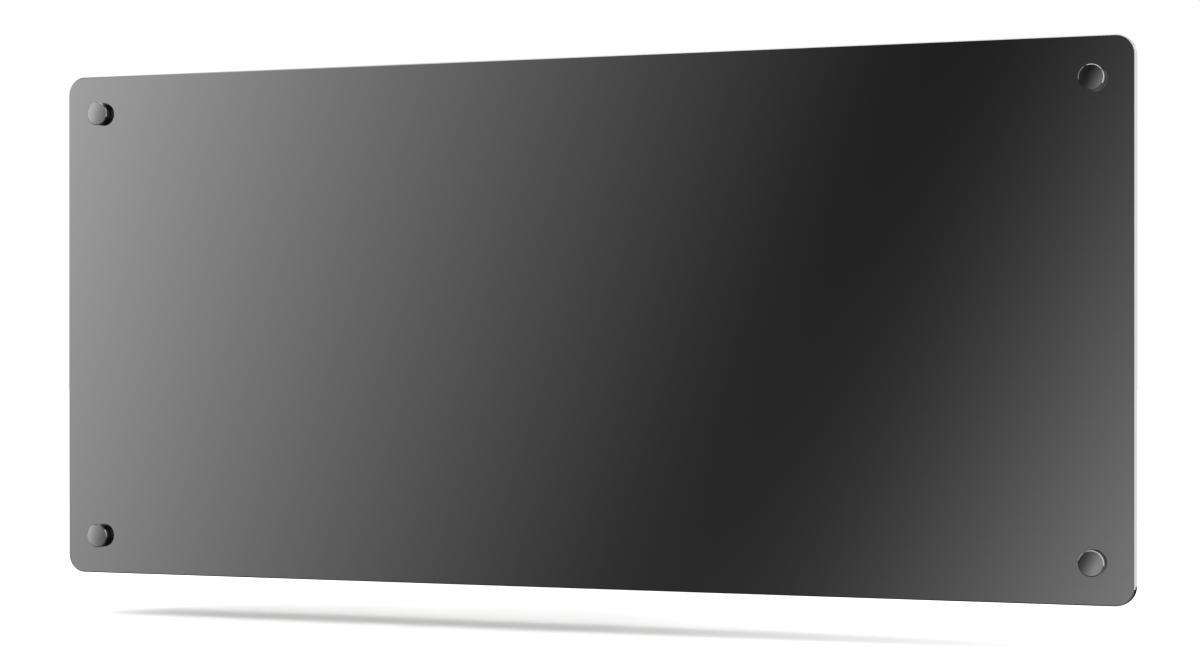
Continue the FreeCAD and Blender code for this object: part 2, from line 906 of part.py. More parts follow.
def heating_element():
    """The cast aluminium element: an X section slit into fins along its length, with two rod bores."""
    piece = Piece("heating_element")
    origin = (middle, element_z)
    section = piece.sketch("YZ", outlet_center, origin)
    element_profile(section)
    piece.add(section, element_length, both=True)
    bores = piece.sketch("YZ", outlet_center, origin)
    for level in (-1, 1):
        circle(bores, as_size(0), level * S.rod_spacing / 2, rod_bore)
    piece.cut(bores, element_length, both=True)
    gap_count = whole(element_length / S.fin_pitch) - 1
    run = S.fin_pitch * (gap_count - 1)
    slit = piece.sketch("YZ", outlet_center - run / 2, origin)
    spare = 2 * S.wing_thickness
    rectangle(slit, as_size(0), as_size(0), 2 * S.wing_reach + spare, 2 * S.wing_height + spare)
    rectangle(slit, as_size(0), as_size(0), S.core_width + spare, S.core_height + spare)
    piece.row([piece.cut(slit, S.fin_gap, both=True)], "X", run, gap_count)


def heating_rod(name, level):
    """A sheathed heating rod, with a terminal pin at each end."""
    piece = Piece(f"{name}_heating_rod")
    profile = piece.sketch("XZ", middle, (outlet_center, level))
    sheath = element_bracket_place + S.rod_overhang - S.pin_length
    tip = element_bracket_place + S.rod_overhang
    radius, pin_radius = S.rod_diameter / 2, S.pin_diameter / 2
    polygon(
        profile,
        [
            (-tip, as_size(0)),
            (tip, as_size(0)),
            (tip, pin_radius),
            (sheath, pin_radius),
            (sheath, radius),
            (-sheath, radius),
            (-sheath, pin_radius),
            (-tip, pin_radius),
        ],
    )
    piece.turn(profile, "H_Axis")


def element_bracket(name, side):
    """A stand on the back wall that carries one end of the element."""
    piece = Piece(f"{name}_element_bracket")
    x = outlet_center + side * element_bracket_place
    low = element_z - S.element_bracket_height / 2
    high = low + S.element_bracket_height
    folded_stand(piece, x, side, S.element_bracket_reach, low, high, S.bracket_sheet)
    holes = piece.sketch("YZ", x)
    for level in rod_levels.values():
        circle(holes, middle, level, S.bush_diameter + 2 * S.fit_gap)
    piece.cut(holes, S.bracket_sheet, way=side)


def ceramic_bushes():
    """The flanged ceramic bushes that hold the rods in the stands."""
    piece = Piece("ceramic_bushes")
    for side in SIDES.values():
        face = outlet_center + side * element_bracket_place
        flanges = piece.sketch("YZ", face)
        barrels = piece.sketch("YZ", face)
        for level in rod_levels.values():
            ring(flanges, middle, level, S.bush_flange, rod_bore)
            ring(barrels, middle, level, S.bush_diameter, rod_bore)
        piece.add(flanges, S.bush_flange_thickness, way=-side)
        piece.add(barrels, S.bush_length - S.bush_flange_thickness, way=side)


def rod_terminals():
    """The nuts on the rods' terminal pins."""
    piece = Piece("rod_terminals")
    for side in SIDES.values():
        face = outlet_center + side * (element_bracket_place + S.rod_overhang - S.pin_length)
        nuts = piece.sketch("YZ", face)
        for level in rod_levels.values():
            hexagon(nuts, middle, level, S.terminal_flats)
            circle(nuts, middle, level, S.pin_diameter + 2 * S.screw_gap)
        piece.add(nuts, S.terminal_height, way=side)


def cutout_bracket():
    """The arm on the back wall that holds the thermal cut-out above the element."""
    piece = Piece("cutout_bracket")
    z = S.cutout_height
    section = piece.sketch("YZ", cutout_x)
    polygon(
        section,
        [
            (inner_back, z),
            (inner_back - S.cutout_reach, z),
            (inner_back - S.cutout_reach, z + S.bracket_sheet),
            (inner_back - S.bracket_sheet, z + S.bracket_sheet),
            (inner_back - S.bracket_sheet, z + S.foot_width),
            (inner_back, z + S.foot_width),
        ],
    )
    piece.add(section, S.cutout_arm_width, both=True)
    hole = piece.sketch("XY", z)
    circle(hole, cutout_x, middle, S.cutout_diameter + 2 * S.fit_gap)
    piece.cut(hole, S.bracket_sheet)


def thermal_cutout():
    """The disc cut-out: a metal cap under the arm, a body through it and two blade tabs."""
    piece = Piece("thermal_cutout")
    x, z = cutout_x, S.cutout_height
    cap = piece.sketch("XY", z)
    circle(cap, x, middle, S.cutout_diameter + 2 * S.cutout_flange)
    piece.add(cap, S.cutout_cap_height, way=-1)
    body = piece.sketch("XY", z)
    circle(body, x, middle, S.cutout_diameter)
    piece.add(body, S.cutout_body_height)
    tabs = piece.sketch("XY", z + S.cutout_body_height)
    for side in SIDES.values():
        rectangle(tabs, x + side * S.cutout_diameter / 4, middle, S.tab_thickness, S.tab_width)
    piece.add(tabs, S.tab_height)


def control_panel():
    """The moulded panel over the control opening: a plate on the top wall, and a skirt inside the opening."""
    piece = Piece("control_panel")
    x = control_center
    plate = piece.sketch("XY", half_height)
    rectangle(plate, x, middle, control_length + 2 * S.rim_width, S.outlet_depth + 2 * S.rim_width)
    piece.add(plate, S.panel_thickness)
    skirt = piece.sketch("XY", half_height)
    length, depth = control_length - 2 * S.fit_gap, S.outlet_depth - 2 * S.fit_gap
    rectangle(skirt, x, middle, length, depth)
    rectangle(skirt, x, middle, length - 2 * S.panel_wall, depth - 2 * S.panel_wall)
    piece.add(skirt, S.neck_height, way=-1)
    piece.fillet(S.rim_width, lambda edge: lies_along(edge, "Z") and near(edge.BoundBox.ZMin, half_height))
    piece.chamfer(S.panel_thickness / 3, lambda edge: is_level(edge, panel_top))
    holes = piece.sketch("XY", half_height)
    circle(holes, thermostat_x, middle, S.thermostat_neck + 2 * S.fit_gap)
    circle(holes, pilot_x, middle, S.pilot_diameter + 2 * S.fit_gap)
    for switch_x in SWITCHES.values():
        rectangle(holes, switch_x, middle, S.switch_width + 2 * S.fit_gap, S.switch_length + 2 * S.fit_gap)
    piece.cut(holes, S.panel_thickness)


def thermostat_body():
    """The room thermostat under the panel, with a threaded neck that the shaft turns in."""
    piece = Piece("thermostat_body")
    box = piece.sketch("XY", half_height)
    rectangle(box, thermostat_x, middle, S.thermostat_box, S.thermostat_box)
    piece.add(box, S.thermostat_height, way=-1)
    neck = piece.sketch("XY", half_height)
    circle(neck, thermostat_x, middle, S.thermostat_neck)
    piece.add(neck, S.panel_thickness + S.thermostat_neck_height - S.neck_nut_height)
    mouth = panel_top + S.thermostat_neck_height - S.neck_nut_height
    bore = piece.sketch("XY", mouth)
    circle(bore, thermostat_x, middle, S.shaft_diameter + 2 * S.running_gap)
    piece.cut(bore, S.shaft_seat + S.fit_gap, way=-1)


def thermostat_nut():
    """The nut that clamps the thermostat's neck to the panel."""
    piece = Piece("thermostat_nut")
    nut = piece.sketch("XY", panel_top)
    hexagon(nut, thermostat_x, middle, S.neck_nut_flats)
    circle(nut, thermostat_x, middle, S.thermostat_neck + 2 * S.screw_gap)
    piece.add(nut, S.neck_nut_height)


def flatted_circle(sketch, diameter, flat_depth):
    """A circle about the sketch's origin with a flat on its far side."""
    radius = diameter / 2
    flat = radius - flat_depth
    angle = math.acos(flat.value / radius.value)
    turn = math.pi / 2
    full = Part.Circle(Vector(0, 0, 0), Vector(0, 0, 1), radius.value)
    sketch.addGeometry(Part.ArcOfCircle(full, turn + angle, turn - angle + 2 * math.pi), False)
    arc = sketch.Geometry[0]
    sketch.addGeometry(Part.LineSegment(arc.EndPoint, arc.StartPoint), False)
    sketch.addConstraint(Sketcher.Constraint("Coincident", 0, 2, 1, 1))
    sketch.addConstraint(Sketcher.Constraint("Coincident", 0, 1, 1, 2))
    sketch.addConstraint(Sketcher.Constraint("Coincident", 0, 3, -1, 1))
    sketch.addConstraint(Sketcher.Constraint("Horizontal", 1))
    tie(sketch, sketch.addConstraint(Sketcher.Constraint("Radius", 0, radius.value)), radius)
    tie(sketch, sketch.addConstraint(Sketcher.Constraint("DistanceY", -1, 1, 1, 1, flat.value)), flat)


knob_floor = panel_top + S.swing_gap
shaft_foot = panel_top + S.thermostat_neck_height - S.neck_nut_height - S.shaft_seat


def thermostat_shaft():
    """The thermostat's shaft, flatted where the knob pushes on."""
    piece = Piece("thermostat_shaft")
    tip = panel_top + S.shaft_rise
    round_part = piece.sketch("XY", 0)
    circle(round_part, as_size(0), as_size(0), S.shaft_diameter)
    piece.add(round_part, tip - shaft_foot - S.shaft_flat_length)
    flat_part = piece.sketch("XY", tip - shaft_foot - S.shaft_flat_length)
    flatted_circle(flat_part, S.shaft_diameter, S.shaft_flat_depth)
    piece.add(flat_part, S.shaft_flat_length)
    piece.place(thermostat_x, middle, shaft_foot, DOWNWARD, S.knob_rest_angle)


def thermostat_knob():
    """The fluted thermostat knob, with a pointer groove that is left of the front at its lowest setting."""
    piece = Piece("thermostat_knob")
    skirt, grip = S.knob_diameter / 2, S.grip_diameter / 2
    draft = S.knob_skirt_height / 3
    profile = piece.sketch("XZ")
    polygon(
        profile,
        [
            (as_size(0), S.knob_recess),
            (S.knob_recess_diameter / 2, S.knob_recess),
            (S.knob_recess_diameter / 2, as_size(0)),
            (skirt, as_size(0)),
            (skirt, S.knob_skirt_height - draft),
            (skirt - draft, S.knob_skirt_height),
            (grip, S.knob_skirt_height),
            (grip, S.knob_height - draft),
            (grip - draft, S.knob_height),
            (as_size(0), S.knob_height),
        ],
    )
    piece.turn(profile, "V_Axis")
    flute = piece.sketch("XY", S.knob_skirt_height)
    mouth = S.knob_flute_width / 2
    bottom = grip - S.knob_flute_depth
    polygon(flute, [(mouth, grip), (as_size(0), bottom), (-mouth, grip), (as_size(0), skirt)])
    piece.around([piece.cut(flute, S.knob_height)], "Z", S.knob_flute_count)
    pointer = piece.sketch("XY", S.knob_height)
    rectangle(pointer, as_size(0), -grip / 2, S.pointer_width, grip)
    piece.cut(pointer, S.pointer_depth, way=-1)
    bore = piece.sketch("XY", S.knob_recess)
    flatted_circle(bore, S.shaft_diameter + 2 * S.fit_gap, S.shaft_flat_depth)
    piece.cut(bore, panel_top + S.shaft_rise + S.fit_gap - knob_floor - S.knob_recess)
    piece.place(thermostat_x, middle, knob_floor, DOWNWARD, S.knob_rest_angle)


def pilot_lamp():
    """The neon pilot lamp in its bezel."""
    piece = Piece("pilot_lamp")
    profile = piece.sketch("XZ", middle, (pilot_x, panel_top))
    lens, flange = S.pilot_diameter / 2, S.pilot_flange / 2
    polygon(
        profile,
        [
            (as_size(0), -S.pilot_body_length),
            (lens, -S.pilot_body_length),
            (lens, as_size(0)),
            (flange, as_size(0)),
            (flange, S.pilot_height / 2),
            (flange - S.pilot_height / 2, S.pilot_height),
            (as_size(0), S.pilot_height),
        ],
    )
    piece.turn(profile, "V_Axis")


def switch_body(name, x):
    """A snap-in rocker switch: a bezel on the panel, and a box below it with a well for the rocker."""
    piece = Piece(f"{name}_switch_body")
    bezel = piece.sketch("XY", panel_top)
    rectangle(bezel, x, middle, S.switch_width + 2 * S.switch_flange, S.switch_length + 2 * S.switch_flange)
    piece.add(bezel, S.switch_flange_height)
    bezel_top = panel_top + S.switch_flange_height
    piece.chamfer(S.switch_flange_height / 2, lambda edge: is_level(edge, bezel_top))
    box = piece.sketch("XY", panel_top)
    rectangle(box, x, middle, S.switch_width, S.switch_length)
    piece.add(box, S.switch_depth, way=-1)
    well = piece.sketch("XY", bezel_top)
    rectangle(well, x, middle, S.switch_width - 2 * S.switch_wall, S.switch_length - 2 * S.switch_wall)
    piece.cut(well, S.switch_well + S.switch_flange_height, way=-1)
    seats = piece.sketch("YZ", x)
    circle(seats, middle, pivot_z, S.trunnion_diameter + 2 * S.running_gap)
    piece.cut(seats, S.switch_width - 2 * S.switch_wall + 2 * S.trunnion_length + 2 * S.fit_gap, both=True)
    tabs = piece.sketch("XY", panel_top - S.switch_depth)
    for i in (-1, 0, 1):
        rectangle(tabs, x, middle + i * S.tab_width, S.tab_thickness, S.tab_width / 2)
    piece.add(tabs, S.tab_height, way=-1)


def rocker(name, x):
    """A switch rocker on two trunnions: a drum with a dished top and a flat keel, tilted to off."""
    piece = Piece(f"{name}_rocker")
    width = S.switch_width - 2 * S.switch_wall - S.swing_gap
    drum = piece.sketch("YZ")
    circle(drum, as_size(0), as_size(0), 2 * S.rocker_radius)
    piece.add(drum, width, both=True)
    reach = 2 * S.rocker_radius
    rise = S.rocker_crown + reach * tangent(S.rocker_tilt)
    top = piece.sketch("YZ")
    far = 2 * reach
    polygon(top, [(-reach, rise), (as_size(0), S.rocker_crown), (reach, rise), (reach, far), (-reach, far)])
    piece.cut(top, width, both=True)
    keel = piece.sketch("YZ")
    polygon(keel, [(-reach, -S.rocker_keel), (-reach, -far), (reach, -far), (reach, -S.rocker_keel)])
    piece.cut(keel, width, both=True)
    trunnions = piece.sketch("YZ")
    circle(trunnions, as_size(0), as_size(0), S.trunnion_diameter)
    piece.add(trunnions, width + 2 * S.trunnion_length, both=True)
    piece.place(x, middle, pivot_z, SIDEWAYS, S.rocker_tilt)


def terminal_block():
    """The ceramic block on the back wall where the supply and the leads meet."""
    piece = Piece("terminal_block")
    x, z = control_center, -S.block_drop
    block = piece.sketch("XZ", inner_back)
    rectangle(block, x, z, S.block_length, S.block_height)
    piece.add(block, S.block_depth)
    front = inner_back - S.block_depth
    ways = piece.sketch("XZ", front)
    gaps = piece.sketch("XZ", front)
    for i in (-1, 0, 1):
        way_x = x + i * S.block_way_pitch
        for level in (-1, 1):
            rectangle(ways, way_x, z + level * S.block_height / 4, S.block_well, S.block_well)
    for i in (-1, 1):
        rectangle(gaps, x + i * S.block_way_pitch / 2, z, S.block_well / 3, S.block_height)
    piece.cut(ways, S.block_depth / 2, way=-1)
    piece.cut(gaps, S.block_depth / 3, way=-1)


def cable_gland():
    """The gland in the bottom wall that the supply cable comes in by."""
    piece = Piece("cable_gland")
    profile = piece.sketch("XZ", middle, (control_center, -half_height))
    bore, thread = S.gland_bore / 2, S.gland_thread / 2
    foot = -S.gland_flats_height - S.gland_dome_height
    polygon(
        profile,
        [
            (bore, foot),
            (S.gland_dome_end / 2, foot),
            (thread, foot / 2),
            (thread, S.gland_rise),
            (bore, S.gland_rise),
        ],
    )
    piece.turn(profile, "V_Axis")
    flats = piece.sketch("XY", -half_height)
    hexagon(flats, control_center, middle, S.gland_flats)
    circle(flats, control_center, middle, S.gland_bore)
    piece.add(flats, S.gland_flats_height, way=-1)


def gland_nut():
    """The gland's lock nut inside the bottom wall."""
    piece = Piece("gland_nut")
    nut = piece.sketch("XY", S.sheet - half_height)
    hexagon(nut, control_center, middle, S.gland_nut_flats)
    circle(nut, control_center, middle, S.gland_thread + 2 * S.screw_gap)
    piece.add(nut, S.gland_nut_height)


ear_face = -S.ear_offset - S.bracket_plate
lever_back = ear_face - S.swing_gap


def wall_bracket(name, side):
    """A channel on the wall: two flanges with hooks for the casing, and an ear above for the latch."""
    piece = Piece(f"{name}_wall_bracket")
    x = side * bracket_x
    height = S.bracket_bottom + S.bracket_top
    channel = piece.sketch("XY", -S.bracket_bottom)
    half, plate = S.bracket_width / 2, S.bracket_plate
    polygon(
        channel,
        [
            (x - half, as_size(0)),
            (x - half, back),
            (x - half + plate, back),
            (x - half + plate, -plate),
            (x + half - plate, -plate),
            (x + half - plate, back),
            (x + half, back),
            (x + half, as_size(0)),
        ],
    )
    piece.add(channel, height)
    holes = piece.sketch("XZ", 0)
    for level in (-1, 1):
        slot(holes, x, level * S.bracket_screw_spacing / 2, S.bracket_slot_length, S.bracket_slot_width)
    piece.cut(holes, plate)
    foot, top = -S.hook_drop, -S.hook_drop + S.hook_height
    finger_back = back - S.hook_pinch
    finger_front = finger_back - S.hook_pinch
    for edge in (-1, 1):
        hook = piece.sketch("YZ", x + edge * (half - plate / 2))
        polygon(
            hook,
            [
                (back, foot),
                (back, top),
                (finger_back, top),
                (finger_back, top + S.hook_finger),
                (finger_front, top + S.hook_finger),
                (finger_front, foot + S.hook_pinch),
                (finger_front + S.hook_pinch, foot),
            ],
        )
        piece.add(hook, plate, both=True)
    ear = piece.sketch("YZ", x)
    polygon(
        ear,
        [
            (as_size(0), S.bracket_top - plate),
            (as_size(0), S.bracket_top),
            (-S.ear_offset, S.bracket_top),
            (-S.ear_offset, S.bracket_top + S.ear_height),
            (ear_face, S.bracket_top + S.ear_height),
            (ear_face, S.bracket_top - plate),
        ],
    )
    piece.add(ear, S.ear_width, both=True)
    bore = piece.sketch("XZ", -S.ear_offset)
    circle(bore, x, S.latch_rise, S.latch_pivot + 2 * S.running_gap)
    piece.cut(bore, plate)


def latch(name, side):
    """A quarter-turn latch: a lever in the wall gap, and a T head that locks inside the back wall."""
    piece = Piece(f"{name}_latch")
    x, z = side * bracket_x, S.latch_rise
    head_back = inner_back - S.swing_gap
    rivet_front = S.swing_gap - S.ear_offset
    pivot = piece.sketch("XZ", rivet_front)
    circle(pivot, x, z, S.latch_pivot)
    piece.add(pivot, rivet_front - head_back)
    rivet = piece.sketch("XZ", rivet_front)
    circle(rivet, x, z, S.latch_rivet_diameter)
    piece.add(rivet, S.latch_rivet_thickness, way=-1)
    head = piece.sketch("XZ", head_back)
    rectangle(head, x, z, S.latch_head_length, S.latch_head_width)
    piece.add(head, S.latch_head_thickness)
    lever = piece.sketch("XZ", lever_back)
    half = S.latch_lever_width / 2
    slot(
        lever,
        x,
        z + S.latch_lever_length / 2 - half,
        S.latch_lever_length,
        S.latch_lever_width,
        upright=True,
    )
    piece.add(lever, S.latch_lever_thickness)
    tab_top = z + S.latch_lever_length - 2 * half
    tab = piece.sketch("XZ", lever_back)
    rectangle(tab, x, tab_top, S.latch_lever_width, S.latch_lever_thickness)
    piece.add(tab, S.latch_tab, way=-1)


def wall_spacer(name, side):
    """A plastic spacer that keeps the foot of the casing parallel to the wall."""
    piece = Piece(f"{name}_wall_spacer")
    profile = piece.sketch("XY", -S.spacer_drop, (side * (half_width - S.spacer_side_gap), 0))
    wide, tip, stem = S.spacer_diameter / 2, S.spacer_tip / 2, S.spacer_pin / 2
    polygon(
        profile,
        [
            (as_size(0), as_size(0)),
            (tip, as_size(0)),
            (wide, back),
            (stem, back),
            (stem, back - S.spacer_pin_length),
            (as_size(0), back - S.spacer_pin_length),
        ],
    )
    piece.turn(profile, "V_Axis")


def screw_heads(piece, plane, at, places, head_way):
    """Pan-head screws at places on a face: heads outside it, shanks through it."""
    heads = piece.sketch(plane, at)
    shanks = piece.sketch(plane, at)
    for u, v in places:
        circle(heads, u, v, S.screw_head)
        circle(shanks, u, v, S.screw_diameter)
    piece.add(heads, S.screw_head_height, way=head_way)
    piece.add(shanks, S.screw_length, way=-head_way)


def front_plate_screws():
    """The screws that hold the front plate to the casing's lips."""
    piece = Piece("front_plate_screws")
    screw_heads(piece, "XZ", plate_front, PLATE_SCREWS, 1)


def end_plate_screws():
    """The screws that hold the end plates in the casing, above and below."""
    piece = Piece("end_plate_screws")
    ends = [(side * end_screw_x, middle) for side in SIDES.values()]
    screw_heads(piece, "XY", half_height, ends, 1)
    screw_heads(piece, "XY", -half_height, ends, -1)


def build():
    """Makes every sub-part."""
    glass_panel()
    for corner, (side, level) in CORNERS.items():
        standoff_cap(corner, side, level)
        standoff_post(corner, side, level)
    standoff_rings("cap_washers", glass_front, S.washer_thickness, S.washer_diameter)
    standoff_rings("glass_bushes", glass_back, S.glass_thickness, S.glass_hole - 2 * S.fit_gap)
    standoff_rings("post_washers", post_front, S.washer_thickness, S.washer_diameter)
    standoff_studs()
    standoff_nuts()

    back_shell()
    front_plate()
    for name, side in SIDES.items():
        end_plate(name, side)
    outlet_grille()
    heat_barrier()
    heat_shield()

    heating_element()
    for name, level in rod_levels.items():
        heating_rod(name, level)
    for name, side in SIDES.items():
        element_bracket(name, side)
    ceramic_bushes()
    rod_terminals()
    cutout_bracket()
    thermal_cutout()

    control_panel()
    thermostat_body()
    thermostat_nut()
    thermostat_shaft()
    thermostat_knob()
    pilot_lamp()
    for name, x in SWITCHES.items():
        switch_body(name, x)
        rocker(name, x)
    terminal_block()
    cable_gland()
    gland_nut()

    for name, side in SIDES.items():
        wall_bracket(name, side)
        latch(name, side)
        wall_spacer(name, side)
    front_plate_screws()
    end_plate_screws()


def check():
    """Stops the build if an object failed, or a sub-part has no sound shape."""
    DOC.recompute()
    failed = [o.Label for o in DOC.Objects if "Invalid" in o.State or "Error" in o.State]
    bad = [b.Label for b in SUB_PARTS if b.Shape.isNull() or not b.Shape.isValid() or not b.Shape.Solids]
    if failed or bad:
        raise RuntimeError(f"failed objects {failed}, unsound sub-parts {bad}")


def export():
    """Writes each sub-part to its own STEP file."""
    os.makedirs("parts", exist_ok=True)
    for body in SUB_PARTS:
        body.Shape.exportStep(f"parts/{body.Label}.step")


build()
check()
export()
print(f"{len(SUB_PARTS)} sub-parts, {sum(len(b.Shape.Solids) for b in SUB_PARTS)} solids")
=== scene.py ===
"""Looks of a wall-hung glass convector heater, dressed on its packed frame.

Lengths are in metres. X is to the right seen from the front, Y into the wall and Z up.
"""

import json
import math

import bmesh
import bpy
from bpy.props import FloatProperty, FloatVectorProperty, IntProperty, PointerProperty
from bpy.types import Operator, Panel, PropertyGroup
from mathutils import Matrix, Vector


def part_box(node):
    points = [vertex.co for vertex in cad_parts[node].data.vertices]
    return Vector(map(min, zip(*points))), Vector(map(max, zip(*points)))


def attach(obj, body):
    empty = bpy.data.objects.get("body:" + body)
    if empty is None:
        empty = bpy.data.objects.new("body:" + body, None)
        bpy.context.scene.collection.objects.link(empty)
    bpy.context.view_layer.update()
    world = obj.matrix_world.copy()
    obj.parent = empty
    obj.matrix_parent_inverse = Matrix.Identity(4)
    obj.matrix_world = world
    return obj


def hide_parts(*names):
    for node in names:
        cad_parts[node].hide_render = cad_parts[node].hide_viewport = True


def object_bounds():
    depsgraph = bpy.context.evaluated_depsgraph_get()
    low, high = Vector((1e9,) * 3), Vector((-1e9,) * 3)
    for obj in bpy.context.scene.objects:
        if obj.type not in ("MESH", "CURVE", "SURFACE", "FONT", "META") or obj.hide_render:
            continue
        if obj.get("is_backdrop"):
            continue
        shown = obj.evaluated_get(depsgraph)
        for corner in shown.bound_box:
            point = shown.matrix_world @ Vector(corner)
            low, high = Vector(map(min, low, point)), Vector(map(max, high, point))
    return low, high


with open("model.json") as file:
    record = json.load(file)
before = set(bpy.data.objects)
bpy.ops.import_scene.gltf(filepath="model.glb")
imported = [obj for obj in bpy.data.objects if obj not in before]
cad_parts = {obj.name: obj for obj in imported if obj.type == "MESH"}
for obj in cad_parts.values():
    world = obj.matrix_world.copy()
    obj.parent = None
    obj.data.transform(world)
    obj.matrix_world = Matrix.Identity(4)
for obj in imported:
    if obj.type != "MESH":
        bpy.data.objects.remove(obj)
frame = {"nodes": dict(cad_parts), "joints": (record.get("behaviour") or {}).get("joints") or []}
CAD_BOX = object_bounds()

bl_info = {
    "name": "Glass convector heater",
    "version": (1, 0, 0),
    "blender": (4, 5, 0),
    "location": "View3D > Sidebar > Heater",
    "description": "Dresses a glass convector heater and sets it in a studio",
    "category": "Object",
}

MM = 0.001

# Axes, and the names of what the frame repeats
X, Y, Z = (Vector(row) for row in Matrix.Identity(3))
ORIGIN = Vector((0, 0, 0))
CORNERS = ("top_left", "top_right", "bottom_left", "bottom_right")
SIDES = ("left", "right")
SWITCHES = ("half_power", "full_power")
JOINTS = {joint["name"]: joint for joint in frame["joints"]}

# An edge that turns by more than SHARP is a sharp one, and a face bent past FLAT is split before a union
SHARP = math.radians(30)
FLAT = math.radians(0.05)

# Points closer than MERGE are one, and an edge closer than NEAR to a level lies on it
MERGE = 0.002 * MM
NEAR = 0.1 * MM

# How deep united parts bite, and how far their other faces stay apart
BITE = 0.3 * MM
FLUSH = 0.05 * MM

# How far a cut or a hidden end goes past a face
PAST = 1 * MM

# Play of a fitting in its opening, and half the thickness of a printed mark
FIT = 0.2 * MM
INK = 0.03 * MM

# Steps round turned forms, from large to tiny ones
LARGE, MEDIUM, SMALL, TINY = 96, 64, 48, 24


# Settings

def linear(code):
    """The linear colour of an sRGB hex code."""
    parts = [int(code[i:i + 2], 16) / 255 for i in (0, 2, 4)]
    return (*(p / 12.92 if p <= 0.04045 else ((p + 0.055) / 1.055) ** 2.4 for p in parts), 1.0)


def length(name, about, millimetres):
    """A length that a user can set."""
    return FloatProperty(name=name, description=about, default=millimetres * MM, unit="LENGTH", precision=4)


def angle(name, about, degrees):
    """An angle that a user can set."""
    return FloatProperty(name=name, description=about, default=math.radians(degrees), unit="ROTATION")


def colour(name, about, code):
    """A colour that a user can set."""
    return FloatVectorProperty(
        name=name, description=about, default=linear(code), size=4, min=0, max=1, subtype="COLOR"
    )


def amount(name, about, value, unit="NONE"):
    """A plain number or a power that a user can set."""
    return FloatProperty(name=name, description=about, default=value, unit=unit)


def count(name, about, value):
    """A number of like things that a user can set."""
    return IntProperty(name=name, description=about, default=value, min=1)


class GlassSettings(PropertyGroup):
    """The glass sheet."""

    corner_radius: length("Corner radius", "Radius of the sheet's round corners", 15)
    edge_bevel: length("Edge bevel", "Width of the ground arris round each face", 0.8)
    hole: length("Hole", "Diameter of the holes for the standoffs", 12)
    tint: colour("Tint", "Colour of the painted glass seen from the front", "050505")
    edge_tint: colour("Edge tint", "Colour of the polished edge", "141B19")


class StandoffSettings(PropertyGroup):
    """The standoffs that hold the glass."""

    crown: length("Crown", "Rise of the cap's face at its middle", 0.42)
    rim: length("Rim", "Width of the bevel round the cap's face", 0.6)
    foot_round: length("Foot round", "Radius of the cap's edges at the glass", 0.3)
    bore: length("Bore", "Diameter of the hole for the stud", 6.4)
    face: length("Face", "Thickness of the cap over the stud", 2)
    post_round: length("Post round", "Radius of the posts' end edges", 0.6)
    washer_round: length("Washer round", "Radius of the washers' edges", 0.2)
    plating: colour("Plating", "Colour of the caps' black nickel", "393939")


class CasingSettings(PropertyGroup):
    """The casing, its grille and its screws."""

    coat: colour("Coat", "Colour of the powder coat", "1B1B1D")
    rim_width: length("Rim width", "How far the grille's rim reaches past its opening", 5)
    rim_height: length("Rim height", "Thickness of the grille's rim", 1.6)
    neck_wall: length("Neck wall", "Wall of the grille's neck, with its fit in the opening", 1.8)
    blade: length("Blade", "Thickness of the grille's blades and ribs", 1.4)
    lean: length("Lean", "How far the blades lean to the front at the top", 4)
    blades: count("Blades", "Number of blades", 6)
    ribs: count("Ribs", "Number of cross ribs", 6)
    round_over: length("Round-over", "Radius of the grille's upper edges", 0.6)
    screw_head: length("Screw head", "Diameter of the pan heads", 8)
    head_height: length("Head height", "Height of the pan heads", 2.4)
    screw_shank: length("Screw shank", "Diameter of the shanks", 4)
    screw_length: length("Screw length", "Length of the shanks", 8)


